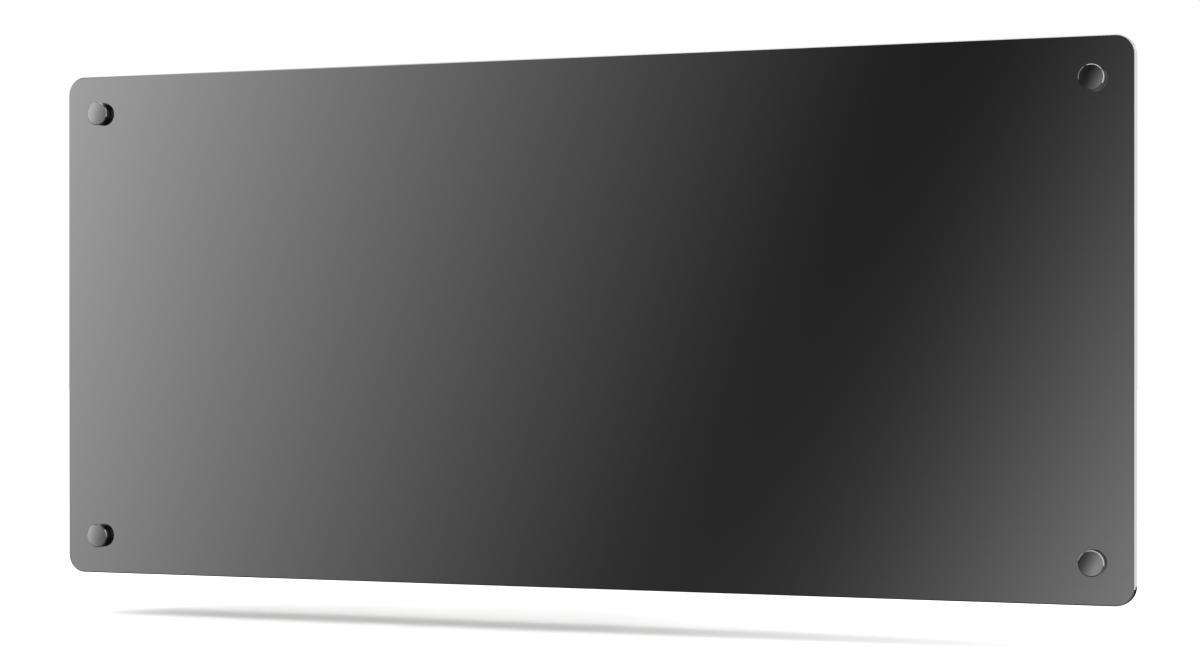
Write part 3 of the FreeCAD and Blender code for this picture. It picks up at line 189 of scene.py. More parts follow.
class ControlSettings(PropertyGroup):
    """The control panel, the knob, the lamp and the switches."""

    plastic: colour("Plastic", "Colour of the moulded panel", "161617")
    ink: colour("Ink", "Colour of the printed marks", "E4E4DE")
    lens: colour("Lens", "Colour of the pilot lamp's lens", "D2501E")
    panel_height: length("Panel height", "Thickness of the panel over the casing", 2.5)
    panel_corner: length("Panel corner", "Radius of the panel's corners", 5)
    panel_rim: length("Panel rim", "How far the panel reaches past its opening", 5)
    panel_round: length("Panel round", "Radius of the panel's upper edge", 0.9)
    panel_wall: length("Panel wall", "Wall of the panel's skirt in the opening", 2)
    neck_hole: length("Neck hole", "Hole for the thermostat's neck", 10.4)
    lamp_hole: length("Lamp hole", "Hole for the pilot lamp", 7.4)
    grip: length("Grip", "Diameter of the knob's fluted grip", 28)
    skirt_height: length("Skirt height", "Height of the knob's skirt", 3.5)
    recess: length("Recess", "Depth of the hollow under the knob", 4)
    recess_width: length("Recess width", "Diameter of the hollow under the knob", 22)
    flutes: count("Flutes", "Number of finger flutes round the knob", 18)
    flute_depth: length("Flute depth", "Depth of the finger flutes", 0.9)
    pointer_width: length("Pointer width", "Width of the knob's pointer groove", 1.6)
    pointer_depth: length("Pointer depth", "Depth of the knob's pointer groove", 0.8)
    pointer_round: length("Pointer round", "Radius of the pointer line's edges", 0.15)
    rest_turn: angle("Rest turn", "Angle of the pointer from the front, to the left, at rest", 45)
    dial_radius: length("Dial radius", "Radius of the ring of dial numbers", 19.6)
    digit: length("Digit", "Height of the dial numbers", 3)
    settings: count("Settings", "Highest number on the dial", 6)
    bezel: length("Bezel", "How far a switch's bezel reaches past its box", 1.5)
    bezel_height: length("Bezel height", "Height of a switch's bezel", 1.8)
    bezel_corner: length("Bezel corner", "Radius of a bezel's corners", 1.2)
    bezel_round: length("Bezel round", "Radius of a bezel's upper edge", 0.7)
    switch_wall: length("Switch wall", "Wall round a switch's well", 1.2)
    switch_well: length("Switch well", "Depth of a switch's well under the panel's face", 8.5)
    switch_depth: length("Switch depth", "Depth of a switch's box under the panel's face", 18)
    tab_thickness: length("Tab thickness", "Thickness of a switch's tabs", 0.8)
    tab_width: length("Tab width", "Width of a switch's tabs", 3.2)
    tab_pitch: length("Tab pitch", "Distance between a switch's tabs", 6.3)
    rocker_radius: length("Rocker radius", "Radius of the rocker's ends about its pivot", 8.6)
    rocker_crown: length("Rocker crown", "Height of the rocker's dish over its pivot", 4)
    rocker_width: length("Rocker width", "Width of the rocker", 11.2)
    rocker_round: length("Rocker round", "Radius of the rocker's edges", 0.6)
    rocker_tilt: angle("Rocker tilt", "Slope of the rocker's two faces", 9)
    trunnion: length("Trunnion", "Diameter of the rocker's trunnions", 2)
    sign: length("Sign", "Height of the on and off signs", 3.2)


class SupplySettings(PropertyGroup):
    """The cable gland."""

    flats_height: length("Flats height", "Height of the gland's hexagon", 4)
    flats_round: length("Flats round", "Radius of the hexagon's edges", 0.5)
    thread: length("Thread", "Diameter of the gland's thread", 16)
    grip_length: length("Grip length", "Straight length of the dome nut", 5)
    shoulder: length("Shoulder", "Height where the dome nut starts to taper", 7)
    dome_end: length("Dome end", "Diameter at the mouth of the dome nut", 15)
    bore: length("Bore", "Diameter of the cable's way through the gland", 8.4)
    mouth: length("Mouth", "Chamfer of the way's mouth", 0.8)
    rise: length("Rise", "Length of the thread inside the casing", 10)
    ribs: count("Ribs", "Number of grip ribs round the dome nut", 12)
    rib_depth: length("Rib depth", "Depth between the grip ribs", 0.35)


class MountingSettings(PropertyGroup):
    """The wall brackets, latches and spacers."""

    plate: length("Plate", "Thickness of the brackets", 2)
    fold: length("Fold", "Outer radius of the brackets' folds", 3.4)
    flange: length("Flange", "Depth of the brackets' flanges", 16)
    top: length("Top", "Height of the channel's top over the wall screws' middle", 100)
    slot_spacing: length("Slot spacing", "Distance between a bracket's two screw slots", 150)
    slot_length: length("Slot length", "Length of the screw slots", 12)
    slot_width: length("Slot width", "Width of the screw slots", 6)
    hook_drop: length("Hook drop", "Depth of the hooks' feet under the middle", 118)
    hook_height: length("Hook height", "Height of the hooks' arms", 12)
    hook_finger: length("Hook finger", "Length of the hooks' fingers", 8)
    hook_pinch: length("Hook pinch", "Sheet room behind a finger, and the finger's own width", 3)
    hook_round: length("Hook round", "Radius of the hooks' edges", 0.3)
    ear_width: length("Ear width", "Width of the latch ears", 30)
    ear_offset: length("Ear offset", "How far the ears stand off the wall", 6)
    ear_round: length("Ear round", "Radius of the ears' edges and folds", 0.6)
    pivot: length("Pivot", "Diameter of the latches' pivots", 6)
    rivet: length("Rivet", "Diameter of the rivet heads", 10)
    rivet_height: length("Rivet height", "Height of the rivet heads", 2)
    lever_width: length("Lever width", "Width of the latch levers", 11)
    lever_height: length("Lever height", "Thickness of the latch levers", 2)
    lever_round: length("Lever round", "Radius of the levers' edges", 0.35)
    head_width: length("Head width", "Width of the latches' T heads", 5.4)
    head_height: length("Head height", "Thickness of the latches' T heads", 3)
    head_round: length("Head round", "Radius of the edges of the T heads and tabs", 0.4)
    tab: length("Tab", "How far a lever's tab is folded back", 4)
    gap: length("Gap", "Play between a lever and its ear", 0.4)
    spacer_tip: length("Spacer tip", "Diameter of the spacers at the wall", 18)
    spacer_edge: length("Spacer edge", "Chamfer of the spacers at the wall", 1.5)
    spacer_round: length("Spacer round", "Radius of the spacers' edges", 0.5)
    spacer_groove: length("Spacer groove", "Depth of the groove round the spacers", 0.7)
    spacer_pin: length("Spacer pin", "Diameter of the spacers' pins", 6)
    spacer_pin_length: length("Spacer pin length", "Length of the spacers' pins", 4)


class StageSettings(PropertyGroup):
    """The studio and the camera."""

    paper: colour("Paper", "Colour of the floor", "EFEFEE")
    # Painted light: the floor glows, more the farther it is from the heater's left end, so the heater's
    # shadow fades out to the right
    paper_glow: amount("Paper glow", "Light through the floor, away from the heater's left end", 0.5)
    floor_drop: length("Floor drop", "Height of the heater's foot over the floor", 36)
    floor_radius: length("Floor radius", "Radius of the floor", 15000)
    lens: amount("Lens", "Focal length", 85, "CAMERA")
    camera_place: FloatVectorProperty(
        name="Camera place", description="Where the camera stands", default=(0.868, -2.171, -0.024),
        subtype="TRANSLATION", unit="LENGTH",
    )
    camera_turn: angle("Camera turn", "Turn of the camera to the left", 22)
    camera_rise: amount("Camera rise", "Rise of the lens, as a share of the picture's width", 0.0196)
    sky: amount("Sky", "Brightness of the white surroundings", 1.0)
    key: amount("Key", "Power of the key light", 60, "POWER")
    rear: amount("Rear", "Power of the rear light", 60, "POWER")
    lamp_size: length("Lamp size", "Width of the two soft lights", 2000)


SETTINGS = {
    "heater_glass": GlassSettings,
    "heater_standoffs": StandoffSettings,
    "heater_casing": CasingSettings,
    "heater_controls": ControlSettings,
    "heater_supply": SupplySettings,
    "heater_mounting": MountingSettings,
    "heater_stage": StageSettings,
}


# Mesh tools

def placed(bm, matrix):
    """A mesh moved by a matrix."""
    bmesh.ops.transform(bm, matrix=matrix, verts=bm.verts)
    return bm


def aimed(place, axis):
    """The matrix that moves to a place and turns Z to an axis."""
    return Matrix.Translation(place) @ Z.rotation_difference(axis).to_matrix().to_4x4()


def lathe(profile, place, axis, steps=MEDIUM):
    """A turned form: (radius, height) points spun about an axis that starts at a place."""
    bm = bmesh.new()
    verts = [bm.verts.new((radius, 0, height)) for radius, height in profile]
    edges = [bm.edges.new(pair) for pair in zip(verts, verts[1:])]
    bmesh.ops.spin(
        bm, geom=verts + edges, cent=ORIGIN, axis=Z, angle=math.tau, steps=steps, use_merge=True
    )
    bmesh.ops.remove_doubles(bm, verts=bm.verts, dist=MERGE)
    bmesh.ops.recalc_face_normals(bm, faces=bm.faces)
    return placed(bm, aimed(place, axis))


def tube(outside, inside, height):
    """The closed outline of a ring."""
    return [(inside, 0), (outside, 0), (outside, height), (inside, height), (inside, 0)]


def block(low, high):
    """A box between two corners."""
    bm = bmesh.new()
    spread = Matrix.Diagonal((*(Vector(high) - Vector(low)), 1))
    bmesh.ops.create_cube(bm, size=1, matrix=Matrix.Translation((Vector(low) + Vector(high)) / 2) @ spread)
    return bm


def inset_block(low, high, inset, bottom, top):
    """A box between two heights, inside the outline of another by an inset."""
    return block((low.x + inset, low.y + inset, bottom), (high.x - inset, high.y - inset, top))


def rod(diameter, start, end, segments=32):
    """A cylinder between two points."""
    bm = bmesh.new()
    way = Vector(end) - Vector(start)
    bmesh.ops.create_cone(
        bm, cap_ends=True, segments=segments, radius1=diameter / 2, radius2=diameter / 2, depth=way.length,
        matrix=aimed((Vector(start) + Vector(end)) / 2, way),
    )
    return bm


def drawn(bm, grown, way):
    """Moves what an extrusion has made along a way."""
    verts = [item for item in grown["geom"] if isinstance(item, bmesh.types.BMVert)]
    bmesh.ops.translate(bm, vec=way, verts=verts)


def extruded(bm, way):
    """A flat face drawn out into a solid."""
    drawn(bm, bmesh.ops.extrude_face_region(bm, geom=bm.faces[:]), way)
    bmesh.ops.recalc_face_normals(bm, faces=bm.faces)
    return bm


def outline(points, way):
    """A solid with a straight-sided outline, drawn out along a way."""
    bm = bmesh.new()
    bm.faces.new([bm.verts.new(point) for point in points])
    return extruded(bm, way)


def plate(low, high, radius, upright=False, segments=12):
    """A plate between two corners with round corners: flat, or upright and facing the front."""
    low, high = Vector(low), Vector(high)
    size, centre = high - low, (low + high) / 2
    bm = bmesh.new()
    bmesh.ops.create_grid(bm, x_segments=1, y_segments=1, size=0.5)
    wide, deep, thick = (size.x, size.z, size.y) if upright else size
    bmesh.ops.scale(bm, vec=(wide, deep, 1), verts=bm.verts)
    bmesh.ops.bevel(
        bm, geom=bm.verts[:], offset=radius, segments=segments, profile=0.5, affect="VERTICES", material=-1
    )
    bmesh.ops.remove_doubles(bm, verts=bm.verts, dist=MERGE)
    extruded(bm, Z * thick)
    if upright:
        turn = Matrix.Rotation(math.pi / 2, 4, X)
        return placed(bm, Matrix.Translation((centre.x, high.y, centre.z)) @ turn)
    return placed(bm, Matrix.Translation((centre.x, centre.y, low.z)))


def at(axis, *levels):
    """A test for the edges that lie at one of some levels along an axis."""
    return lambda middle: any(abs(middle.dot(axis) - level) < NEAR for level in levels)


def soften(bm, width, segments=3, where=lambda middle: True):
    """Rounds the sharp edges whose middle passes a test, or bevels them flat with one segment."""
    sharp = [edge for edge in bm.edges if edge.is_manifold and edge.calc_face_angle() > SHARP]
    bmesh.ops.bevel(
        bm, geom=[edge for edge in sharp if where((edge.verts[0].co + edge.verts[1].co) / 2)], offset=width,
        segments=segments, profile=0.5, affect="EDGES", material=-1, clamp_overlap=True,
    )
    bmesh.ops.remove_doubles(bm, verts=bm.verts, dist=MERGE)
    return bm


def joined(parts):
    """Several meshes as one, each with its own skin."""
    whole = bmesh.new()
    for part in parts:
        mesh = bpy.data.meshes.new("part")
        part.to_mesh(mesh)
        part.free()
        whole.from_mesh(mesh)
        bpy.data.meshes.remove(mesh)
    return whole


def shown(name, bm):
    """A mesh as an object of the scene."""
    mesh = bpy.data.meshes.new(name)
    bm.to_mesh(mesh)
    bm.free()
    thing = bpy.data.objects.new(name, mesh)
    bpy.context.scene.collection.objects.link(thing)
    return thing


def carved(bm, tool, operation="DIFFERENCE"):
    """One mesh cut by another, or united with it."""
    things = [shown("carved", bm), shown("tool", tool)]
    cut = things[0].modifiers.new("cut", "BOOLEAN")
    cut.object = things[1]
    cut.operation = operation
    cut.solver = "EXACT"
    result = bmesh.new()
    result.from_object(things[0], bpy.context.evaluated_depsgraph_get())
    for mesh in [thing.data for thing in things]:
        bpy.data.meshes.remove(mesh)
    bmesh.ops.remove_doubles(result, verts=result.verts, dist=MERGE)
    return result


def united(parts):
    """Several meshes that overlap as one skin."""
    whole, *others = parts
    for part in others:
        bmesh.ops.connect_verts_nonplanar(part, angle_limit=FLAT, faces=part.faces)
        whole = carved(whole, part, "UNION")
    return whole


def lettering(text, height):
    """Plain type as a thin mesh about the origin, facing up."""
    capital_share = 0.7
    curve = bpy.data.curves.new("type", "FONT")
    curve.body = text
    curve.size = height / capital_share
    curve.align_x = "CENTER"
    curve.align_y = "CENTER"
    curve.extrude = INK
    holder = bpy.data.objects.new("type", curve)
    bpy.context.scene.collection.objects.link(holder)
    mesh = bpy.data.meshes.new_from_object(holder.evaluated_get(bpy.context.evaluated_depsgraph_get()))
    bm = bmesh.new()
    bm.from_mesh(mesh)
    bpy.data.meshes.remove(mesh)
    bpy.data.curves.remove(curve)
    bmesh.ops.remove_doubles(bm, verts=bm.verts, dist=MERGE)
    bmesh.ops.dissolve_degenerate(bm, dist=MERGE, edges=bm.edges)
    return bm


def piece(name, bm, materials, body, nodes):
    """A finished piece: it rides on a body and stands for CAD nodes."""
    thing = shown(name, bm)
    for material in materials:
        thing.data.materials.append(material)
    thing.data.shade_smooth()
    thing.data.set_sharp_from_angle(angle=SHARP)
    thing.modifiers.new("flat faces stay flat", "WEIGHTED_NORMAL").keep_sharp = True
    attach(thing, body)
    if nodes:
        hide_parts(*nodes)
    return thing


def dress(material, *nodes):
    """Gives CAD nodes a finish."""
    for node in nodes:
        mesh = frame["nodes"][node].data
        mesh.materials.clear()
        mesh.materials.append(material)


def middle_of(node, **given):
    """The middle of a CAD node's box, with some of its coordinates given instead."""
    low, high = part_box(node)
    place = (low + high) / 2
    for name, value in given.items():
        setattr(place, name, value)
    return place


# Materials

# Sockets of the colour mix, which share their names with others: its factor, two colours and result
FACTOR, FIRST, SECOND, RESULT = 0, 6, 7, 2


def add_node(tree, kind, settings=(), links=()):
    """Adds a node: settings fill its sockets or its own properties, links join its sockets to outputs."""
    node = tree.nodes.new(kind)
    for key, value in dict(settings).items():
        if isinstance(key, int) or key in node.inputs:
            node.inputs[key].default_value = value
        else:
            setattr(node, key, value)
    for key, output in dict(links).items():
        tree.links.new(output, node.inputs[key])
    return node


def finish(name, **sockets):
    """A new material whose shader has these even values: the material, its tree, shader and coordinates."""
    material = bpy.data.materials.new(name)
    material.use_nodes = True
    tree = material.node_tree
    shader = tree.nodes["Principled BSDF"]
    for key, value in sockets.items():
        shader.inputs[key.replace("_", " ")].default_value = value
    coords = add_node(tree, "ShaderNodeTexCoord").outputs["Object"]
    return material, tree, shader, coords


def vary(tree, shader, pattern, colours, roughness, relief=None):
    """Lets a pattern from 0 to 1 carry a surface between two colours, two roughnesses and two heights."""
    blend = {"data_type": "RGBA", FIRST: colours[0], SECOND: colours[1]}
    mix = add_node(tree, "ShaderNodeMix", blend, {FACTOR: pattern})
    tree.links.new(mix.outputs[RESULT], shader.inputs["Base Color"])
    ends = {"To Min": roughness[0], "To Max": roughness[1]}
    span = add_node(tree, "ShaderNodeMapRange", ends, {"Value": pattern})
    tree.links.new(span.outputs[0], shader.inputs["Roughness"])
    if relief:
        bump = add_node(tree, "ShaderNodeBump", {"Strength": 1, "Distance": relief}, {"Height": pattern})
        tree.links.new(bump.outputs[0], shader.inputs["Normal"])


def grained(name, colours, grain, roughness, relief=None, noise=(), stretch=None, **sockets):
    """A finish whose grain has a real size and may be stretched: it carries colour, gloss and relief."""
    material, tree, shader, coords = finish(name, **sockets)
    if stretch:
        coords = add_node(tree, "ShaderNodeMapping", {"Scale": stretch}, {"Vector": coords}).outputs[0]
    settings = {"Scale": 1 / grain, "Detail": 3, **dict(noise)}
    cloud = add_node(tree, "ShaderNodeTexNoise", settings, {"Vector": coords})
    vary(tree, shader, cloud.outputs[0], colours, roughness, relief)
    return material


def tones(shade, dark, light):
    """A colour at two strengths, which are shares of it."""
    return [(*(min(1.0, part * share) for part in shade[:3]), 1.0) for share in (dark, light)]


def shades(dark, light):
    """Two colours from their sRGB hex codes."""
    return linear(dark), linear(light)


def painted_glass(tint):
    """Float glass with black paint behind it: a deep black and a clear mirror, with a trace of wiping."""
    return grained(
        "Float glass, back-painted black", tones(tint, 0.8, 1.2), grain=120 * MM, roughness=(0.015, 0.035),
        noise={"Detail": 5, "Roughness": 0.6}, stretch=(1, 1, 0.4), IOR=1.52,
    )


def glass_edge(tint):
    """The sheet's ground and polished edge: a dark bottle green mirror, with faint grinding lines."""
    material, tree, shader, coords = finish("Float glass edge, ground and polished", IOR=1.52)
    lines = add_node(
        tree, "ShaderNodeTexWave",
        {"bands_direction": "Y", "Scale": 1 / (12 * MM), "Distortion": 3, "Detail": 3, "Detail Scale": 4},
        {"Vector": coords},
    )
    vary(tree, shader, lines.outputs[1], tones(tint, 0.7, 1), roughness=(0.03, 0.08))
    return material


def enamel():
    """Black ceramic enamel on the back of the glass: satin, with a faint roller texture."""
    return grained(
        "Ceramic enamel, black satin", shades("0D0D0E", "151516"), grain=4 * MM, roughness=(0.32, 0.45),
        relief=0.03 * MM, noise={"Detail": 4},
    )


def black_nickel(plating):
    """Polished black nickel: a dark mirror, a little softer where it has been wiped."""
    return grained(
        "Black nickel plate, polished", tones(plating, 0.92, 1.06), grain=5 * MM, roughness=(0.07, 0.13),
        Metallic=1,
    )


def nylon():
    """Moulded black nylon: matt, slightly waxy, with a fine even grain."""
    return grained(
        "Nylon, moulded black", shades("121213", "1D1D1E"), grain=0.8 * MM, roughness=(0.4, 0.55),
        relief=0.02 * MM, IOR=1.53,
    )


def zinc_plate():
    """Bright zinc on steel: a cool, clean grey metal with cloudy passivation."""
    return grained(
        "Steel, bright zinc plate", shades("B9BDC2", "D6D6D2"), grain=6 * MM, roughness=(0.2, 0.38),
        relief=0.01 * MM, noise={"Detail": 5, "Roughness": 0.6}, Metallic=1,
    )


def powder_coat(coat):
    """Fine-textured powder coat on sheet steel: matt black with an orange-peel grain.

    The real grit is about 0.4 mm, and is drawn at 1.6 mm so that it shows from a few steps away.
    """
    return grained(
        "Sheet steel, powder-coated", tones(coat, 0.75, 1.3), grain=1.6 * MM, roughness=(0.42, 0.6),
        relief=0.12 * MM, noise={"Detail": 4}, IOR=1.5,
    )


def galvanised():
    """Hot-dip galvanised sheet: grey zinc crystals of about 7 mm, each with its own tone and gloss."""
    material, tree, shader, coords = finish("Sheet steel, hot-dip galvanised", Metallic=1)
    warp = add_node(tree, "ShaderNodeTexNoise", {"Scale": 1 / (10 * MM), "Detail": 3}, {"Vector": coords})
    bend = add_node(
        tree, "ShaderNodeVectorMath", {"operation": "MULTIPLY_ADD", 1: (4 * MM,) * 3},
        {0: warp.outputs[1], 2: coords},
    )
    crystals = add_node(tree, "ShaderNodeTexVoronoi", {"Scale": 1 / (7 * MM)}, {"Vector": bend.outputs[0]})
    tone = add_node(tree, "ShaderNodeSeparateColor", links={0: crystals.outputs["Color"]})
    colours = shades("A8ADB0", "BCC0C2")
    vary(tree, shader, tone.outputs[0], colours, roughness=(0.32, 0.44), relief=0.01 * MM)
    return material


def bright_aluminium():
    """Bright rolled aluminium: a pale mirror with rolling lines along the sheet."""
    return grained(
        "Aluminium sheet, bright rolled", shades("D2D4D6", "EDEEEE"), grain=1.2 * MM,
        roughness=(0.12, 0.28), stretch=(0.02, 1, 1), Metallic=1,
    )


def cast_aluminium():
    """Die-cast aluminium: a dull silver skin with a sandy grain."""
    return grained(
        "Aluminium, die-cast", shades("9FA2A4", "CACCCC"), grain=1.5 * MM, roughness=(0.4, 0.6),
        relief=0.05 * MM, noise={"Detail": 5}, Metallic=1,
    )


def heated_steel():
    """A stainless heating rod: straw and brown heat tints that drift along it."""
    return grained(
        "Stainless steel sheath, heat-tinted", shades("8C8784", "A48C68"), grain=40 * MM,
        roughness=(0.25, 0.42), Metallic=1,
    )


def steatite():
    """Unglazed steatite: a warm off-white ceramic, dry, with tiny pores."""
    return grained(
        "Steatite ceramic, unglazed", shades("D8D1C1", "EEE9DD"), grain=1 * MM, roughness=(0.55, 0.75),
        relief=0.04 * MM, noise={"Detail": 6}, IOR=1.6,
    )


def brass():
    """Turned brass: warm yellow metal with a slight tarnish."""
    return grained(
        "Brass, turned", shades("A98544", "D9BC76"), grain=3 * MM, roughness=(0.22, 0.4),
        noise={"Detail": 4}, Metallic=1,
    )


def bakelite():
    """Moulded bakelite: dark brown, glossy, with the swirl of its filler."""
    return grained(
        "Bakelite, moulded brown", shades("24150F", "452C20"), grain=6 * MM, roughness=(0.22, 0.34),
        noise={"Detail": 4, "Distortion": 1.5}, IOR=1.6,
    )


def moulded(name, shade, grain, roughness, relief):
    """A moulded black plastic: even, with the grain and gloss that its mould was given."""
    return grained(name, tones(shade, 0.8, 1.25), grain, roughness, relief, IOR=1.54)


def panel_plastic(shade):
    """ABS from a spark-eroded mould: an even, dry black with a fine sparkle."""
    return moulded(
        "ABS, spark-eroded black", shade, grain=0.9 * MM, roughness=(0.45, 0.6), relief=0.04 * MM
    )


def bezel_plastic(shade):
    """Polyamide from a smooth mould: black with a low, clean gloss."""
    return moulded(
        "Polyamide bezel, black", shade, grain=0.8 * MM, roughness=(0.3, 0.4), relief=0.01 * MM
    )


def knob_plastic(shade):
    """Satin polyamide: a soft sheen that follows the flutes."""
    return moulded(
        "Polyamide knob, satin black", shade, grain=0.7 * MM, roughness=(0.32, 0.45), relief=0.015 * MM
    )


def switch_plastic(shade):
    """Polyamide with a fine grain: black, between satin and matt."""
    return moulded(
        "Polyamide switch, black", shade, grain=0.8 * MM, roughness=(0.35, 0.48), relief=0.02 * MM
    )


def rocker_plastic(shade):
    """Polycarbonate from a polished mould: glossy black with clear reflections."""
    return moulded(
        "Polycarbonate rocker, gloss black", shade, grain=1.5 * MM, roughness=(0.12, 0.2), relief=0.004 * MM
    )


def gland_plastic(shade):
    """Polyamide for outdoor fittings: black, tough and a little waxy."""
    return moulded(
        "Polyamide gland, black", shade, grain=0.8 * MM, roughness=(0.38, 0.5), relief=0.02 * MM
    )


def spacer_plastic(shade):
    """Matt polypropylene: a flat, soft black with hardly a reflection."""
    return moulded(
        "Polypropylene spacer, matt black", shade, grain=1.2 * MM, roughness=(0.6, 0.75), relief=0.03 * MM
    )


def lamp_lens(tint):
    """A tinted polycarbonate lens: clear orange and glossy, very slightly clouded."""
    return grained(
        "Polycarbonate lens, tinted", tones(tint, 0.8, 1.15), grain=2 * MM, roughness=(0.08, 0.18),
        noise={"Detail": 2}, IOR=1.58, Transmission_Weight=0.35, Coat_Weight=0.4,
    )


def print_ink(ink):
    """Pad-printed ink: flat off-white, a little thin in places."""
    return grained(
        "Pad-printed ink, white", tones(ink, 0.88, 1), grain=0.6 * MM, roughness=(0.45, 0.6),
        noise={"Detail": 2},
    )


# Pieces

class HEATER_OT_glass(Operator):
    """Makes the glass sheet, with round corners, ground edges and a hole for each standoff"""

    bl_idname = "heater.glass"
    bl_label = "Glass sheet"

    # How far a face looks to the rear, -1 to 1: below the first it shows paint, above the second enamel
    FRONT, REAR = -0.3, 0.9

    def execute(self, context):
        style = context.scene.heater_glass
        low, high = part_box("glass_panel")
        bm = plate(low, high, style.corner_radius, upright=True)
        soften(bm, style.edge_bevel, 1, at(Y, low.y, high.y))
        for corner in CORNERS:
            cap = f"cap_{corner}"
            ends = middle_of(cap, y=low.y - PAST), middle_of(cap, y=high.y + PAST)
            bm = carved(bm, rod(style.hole, *ends, SMALL))
        finishes = (painted_glass(style.tint), glass_edge(style.edge_tint), enamel())
        sheet = piece("glass_sheet", bm, finishes, "heater", ["glass_panel"])
        for face in sheet.data.polygons:
            facing = face.normal.y
            face.material_index = 0 if facing < self.FRONT else 2 if facing > self.REAR else 1
        return {"FINISHED"}


class HEATER_OT_standoffs(Operator):
    """Makes the caps, posts and washers that hold the glass at its corners"""

    bl_idname = "heater.standoffs"
    bl_label = "Standoffs"

    # Rings of faces over a cap's crown
    RINGS = 6

    def execute(self, context):
        style = context.scene.heater_standoffs
        nickel, zinc, black = black_nickel(style.plating), zinc_plate(), nylon()
        for corner in CORNERS:
            self.cap(style, corner, nickel)
            self.post(style, corner, zinc)
        for rings in ("cap_washers", "post_washers"):
            self.washers(style, rings, black)
        dress(black, "glass_bushes")
        dress(zinc, "standoff_studs", "standoff_nuts")
        return {"FINISHED"}

    def cap(self, style, corner, nickel):
        """A screw cap with a slightly crowned face and a bevelled rim."""
        node = f"cap_{corner}"
        low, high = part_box(node)
        radius, height = (high.x - low.x) / 2, high.y - low.y
        shares = [i / self.RINGS for i in range(self.RINGS, -1, -1)]
        face = [(radius * share, height - style.crown * share ** 2) for share in shares]
        depth = height - style.face
        inside = [(0, depth), (style.bore / 2, depth), (style.bore / 2, 0), (radius, 0)]
        bm = lathe(inside + face, middle_of(node, y=high.y), -Y, LARGE)
        soften(bm, style.rim, 1, at(Y, low.y + style.crown))
        soften(bm, style.foot_round, 2, at(Y, high.y))
        piece(f"standoff_cap_{corner}", bm, [nickel], "heater", [node])

    def post(self, style, corner, zinc):
        """A turned spacer tube with rounded ends."""
        node = f"post_{corner}"
        low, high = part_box(node)
        ring = tube((high.x - low.x) / 2, style.bore / 2, high.y - low.y)
        bm = soften(lathe(ring, middle_of(node, y=high.y), -Y), style.post_round, 2)
        piece(f"standoff_post_{corner}", bm, [zinc], "heater", [node])

    def washers(self, style, node, black):
        """A nylon ring on each stud."""
        low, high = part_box(node)
        places = [middle_of(f"post_{corner}", y=high.y) for corner in CORNERS]
        radius = high.x - max(place.x for place in places)
        ring = tube(radius, style.bore / 2, high.y - low.y)
        bm = soften(joined(lathe(ring, place, -Y) for place in places), style.washer_round, 2)
        piece(f"standoff_{node}", bm, [black], "heater", [node])


class HEATER_OT_casing(Operator):
    """Coats the sheet steel casing and makes its screws"""

    bl_idname = "heater.casing"
    bl_label = "Casing"

    # The pan head's outline, as shares of its radius and height
    PAN = ((1, 0), (1, 0.5), (0.86, 0.82), (0.55, 0.96), (0, 1))
    # The cross recess: its half length and half width per head radius, and its floor per head height
    CROSS_LONG, CROSS_WIDE, CROSS_FLOOR = 0.55, 0.13, 0.35

    def execute(self, context):
        style = context.scene.heater_casing
        dress(powder_coat(style.coat), "back_shell", "front_plate", "left_end_plate", "right_end_plate")
        zinc = zinc_plate()
        radius, height = style.screw_head / 2, style.head_height
        node = "end_plate_screws"
        low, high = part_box(node)
        places = []
        for x in (low.x + radius, high.x - radius):
            places.append((middle_of(node, x=x, z=high.z - height), Z))
            places.append((middle_of(node, x=x, z=low.z + height), -Z))
        self.screws(style, node, places, zinc)
        node = "front_plate_screws"
        low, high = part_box(node)
        levels = (low.z + radius, high.z - radius)
        places = [(middle_of(node, y=low.y + height, z=level), -Y) for level in levels]
        self.screws(style, node, places, zinc)
        return {"FINISHED"}

    def screws(self, style, node, places, zinc):
        """Pan-head screws with a cross recess, each standing on a face."""
        radius, height, shank = style.screw_head / 2, style.head_height, style.screw_shank / 2
        profile = [(0, -style.screw_length), (shank, -style.screw_length), (shank, 0)]
        profile += [(radius * out, height * up) for out, up in self.PAN]
        long, wide, floor = self.CROSS_LONG * radius, self.CROSS_WIDE * radius, self.CROSS_FLOOR * height
        parts = []
        for place, axis in places:
            head = lathe(profile, ORIGIN, Z, SMALL)
            for turn in (0, math.pi / 2):
                cross = block((-long, -wide, floor), (long, wide, height + PAST))
                head = carved(head, placed(cross, Matrix.Rotation(turn, 4, Z)))
            parts.append(placed(head, aimed(place, axis)))
        piece(f"{node}_zinc", joined(parts), [zinc], "heater", [node])


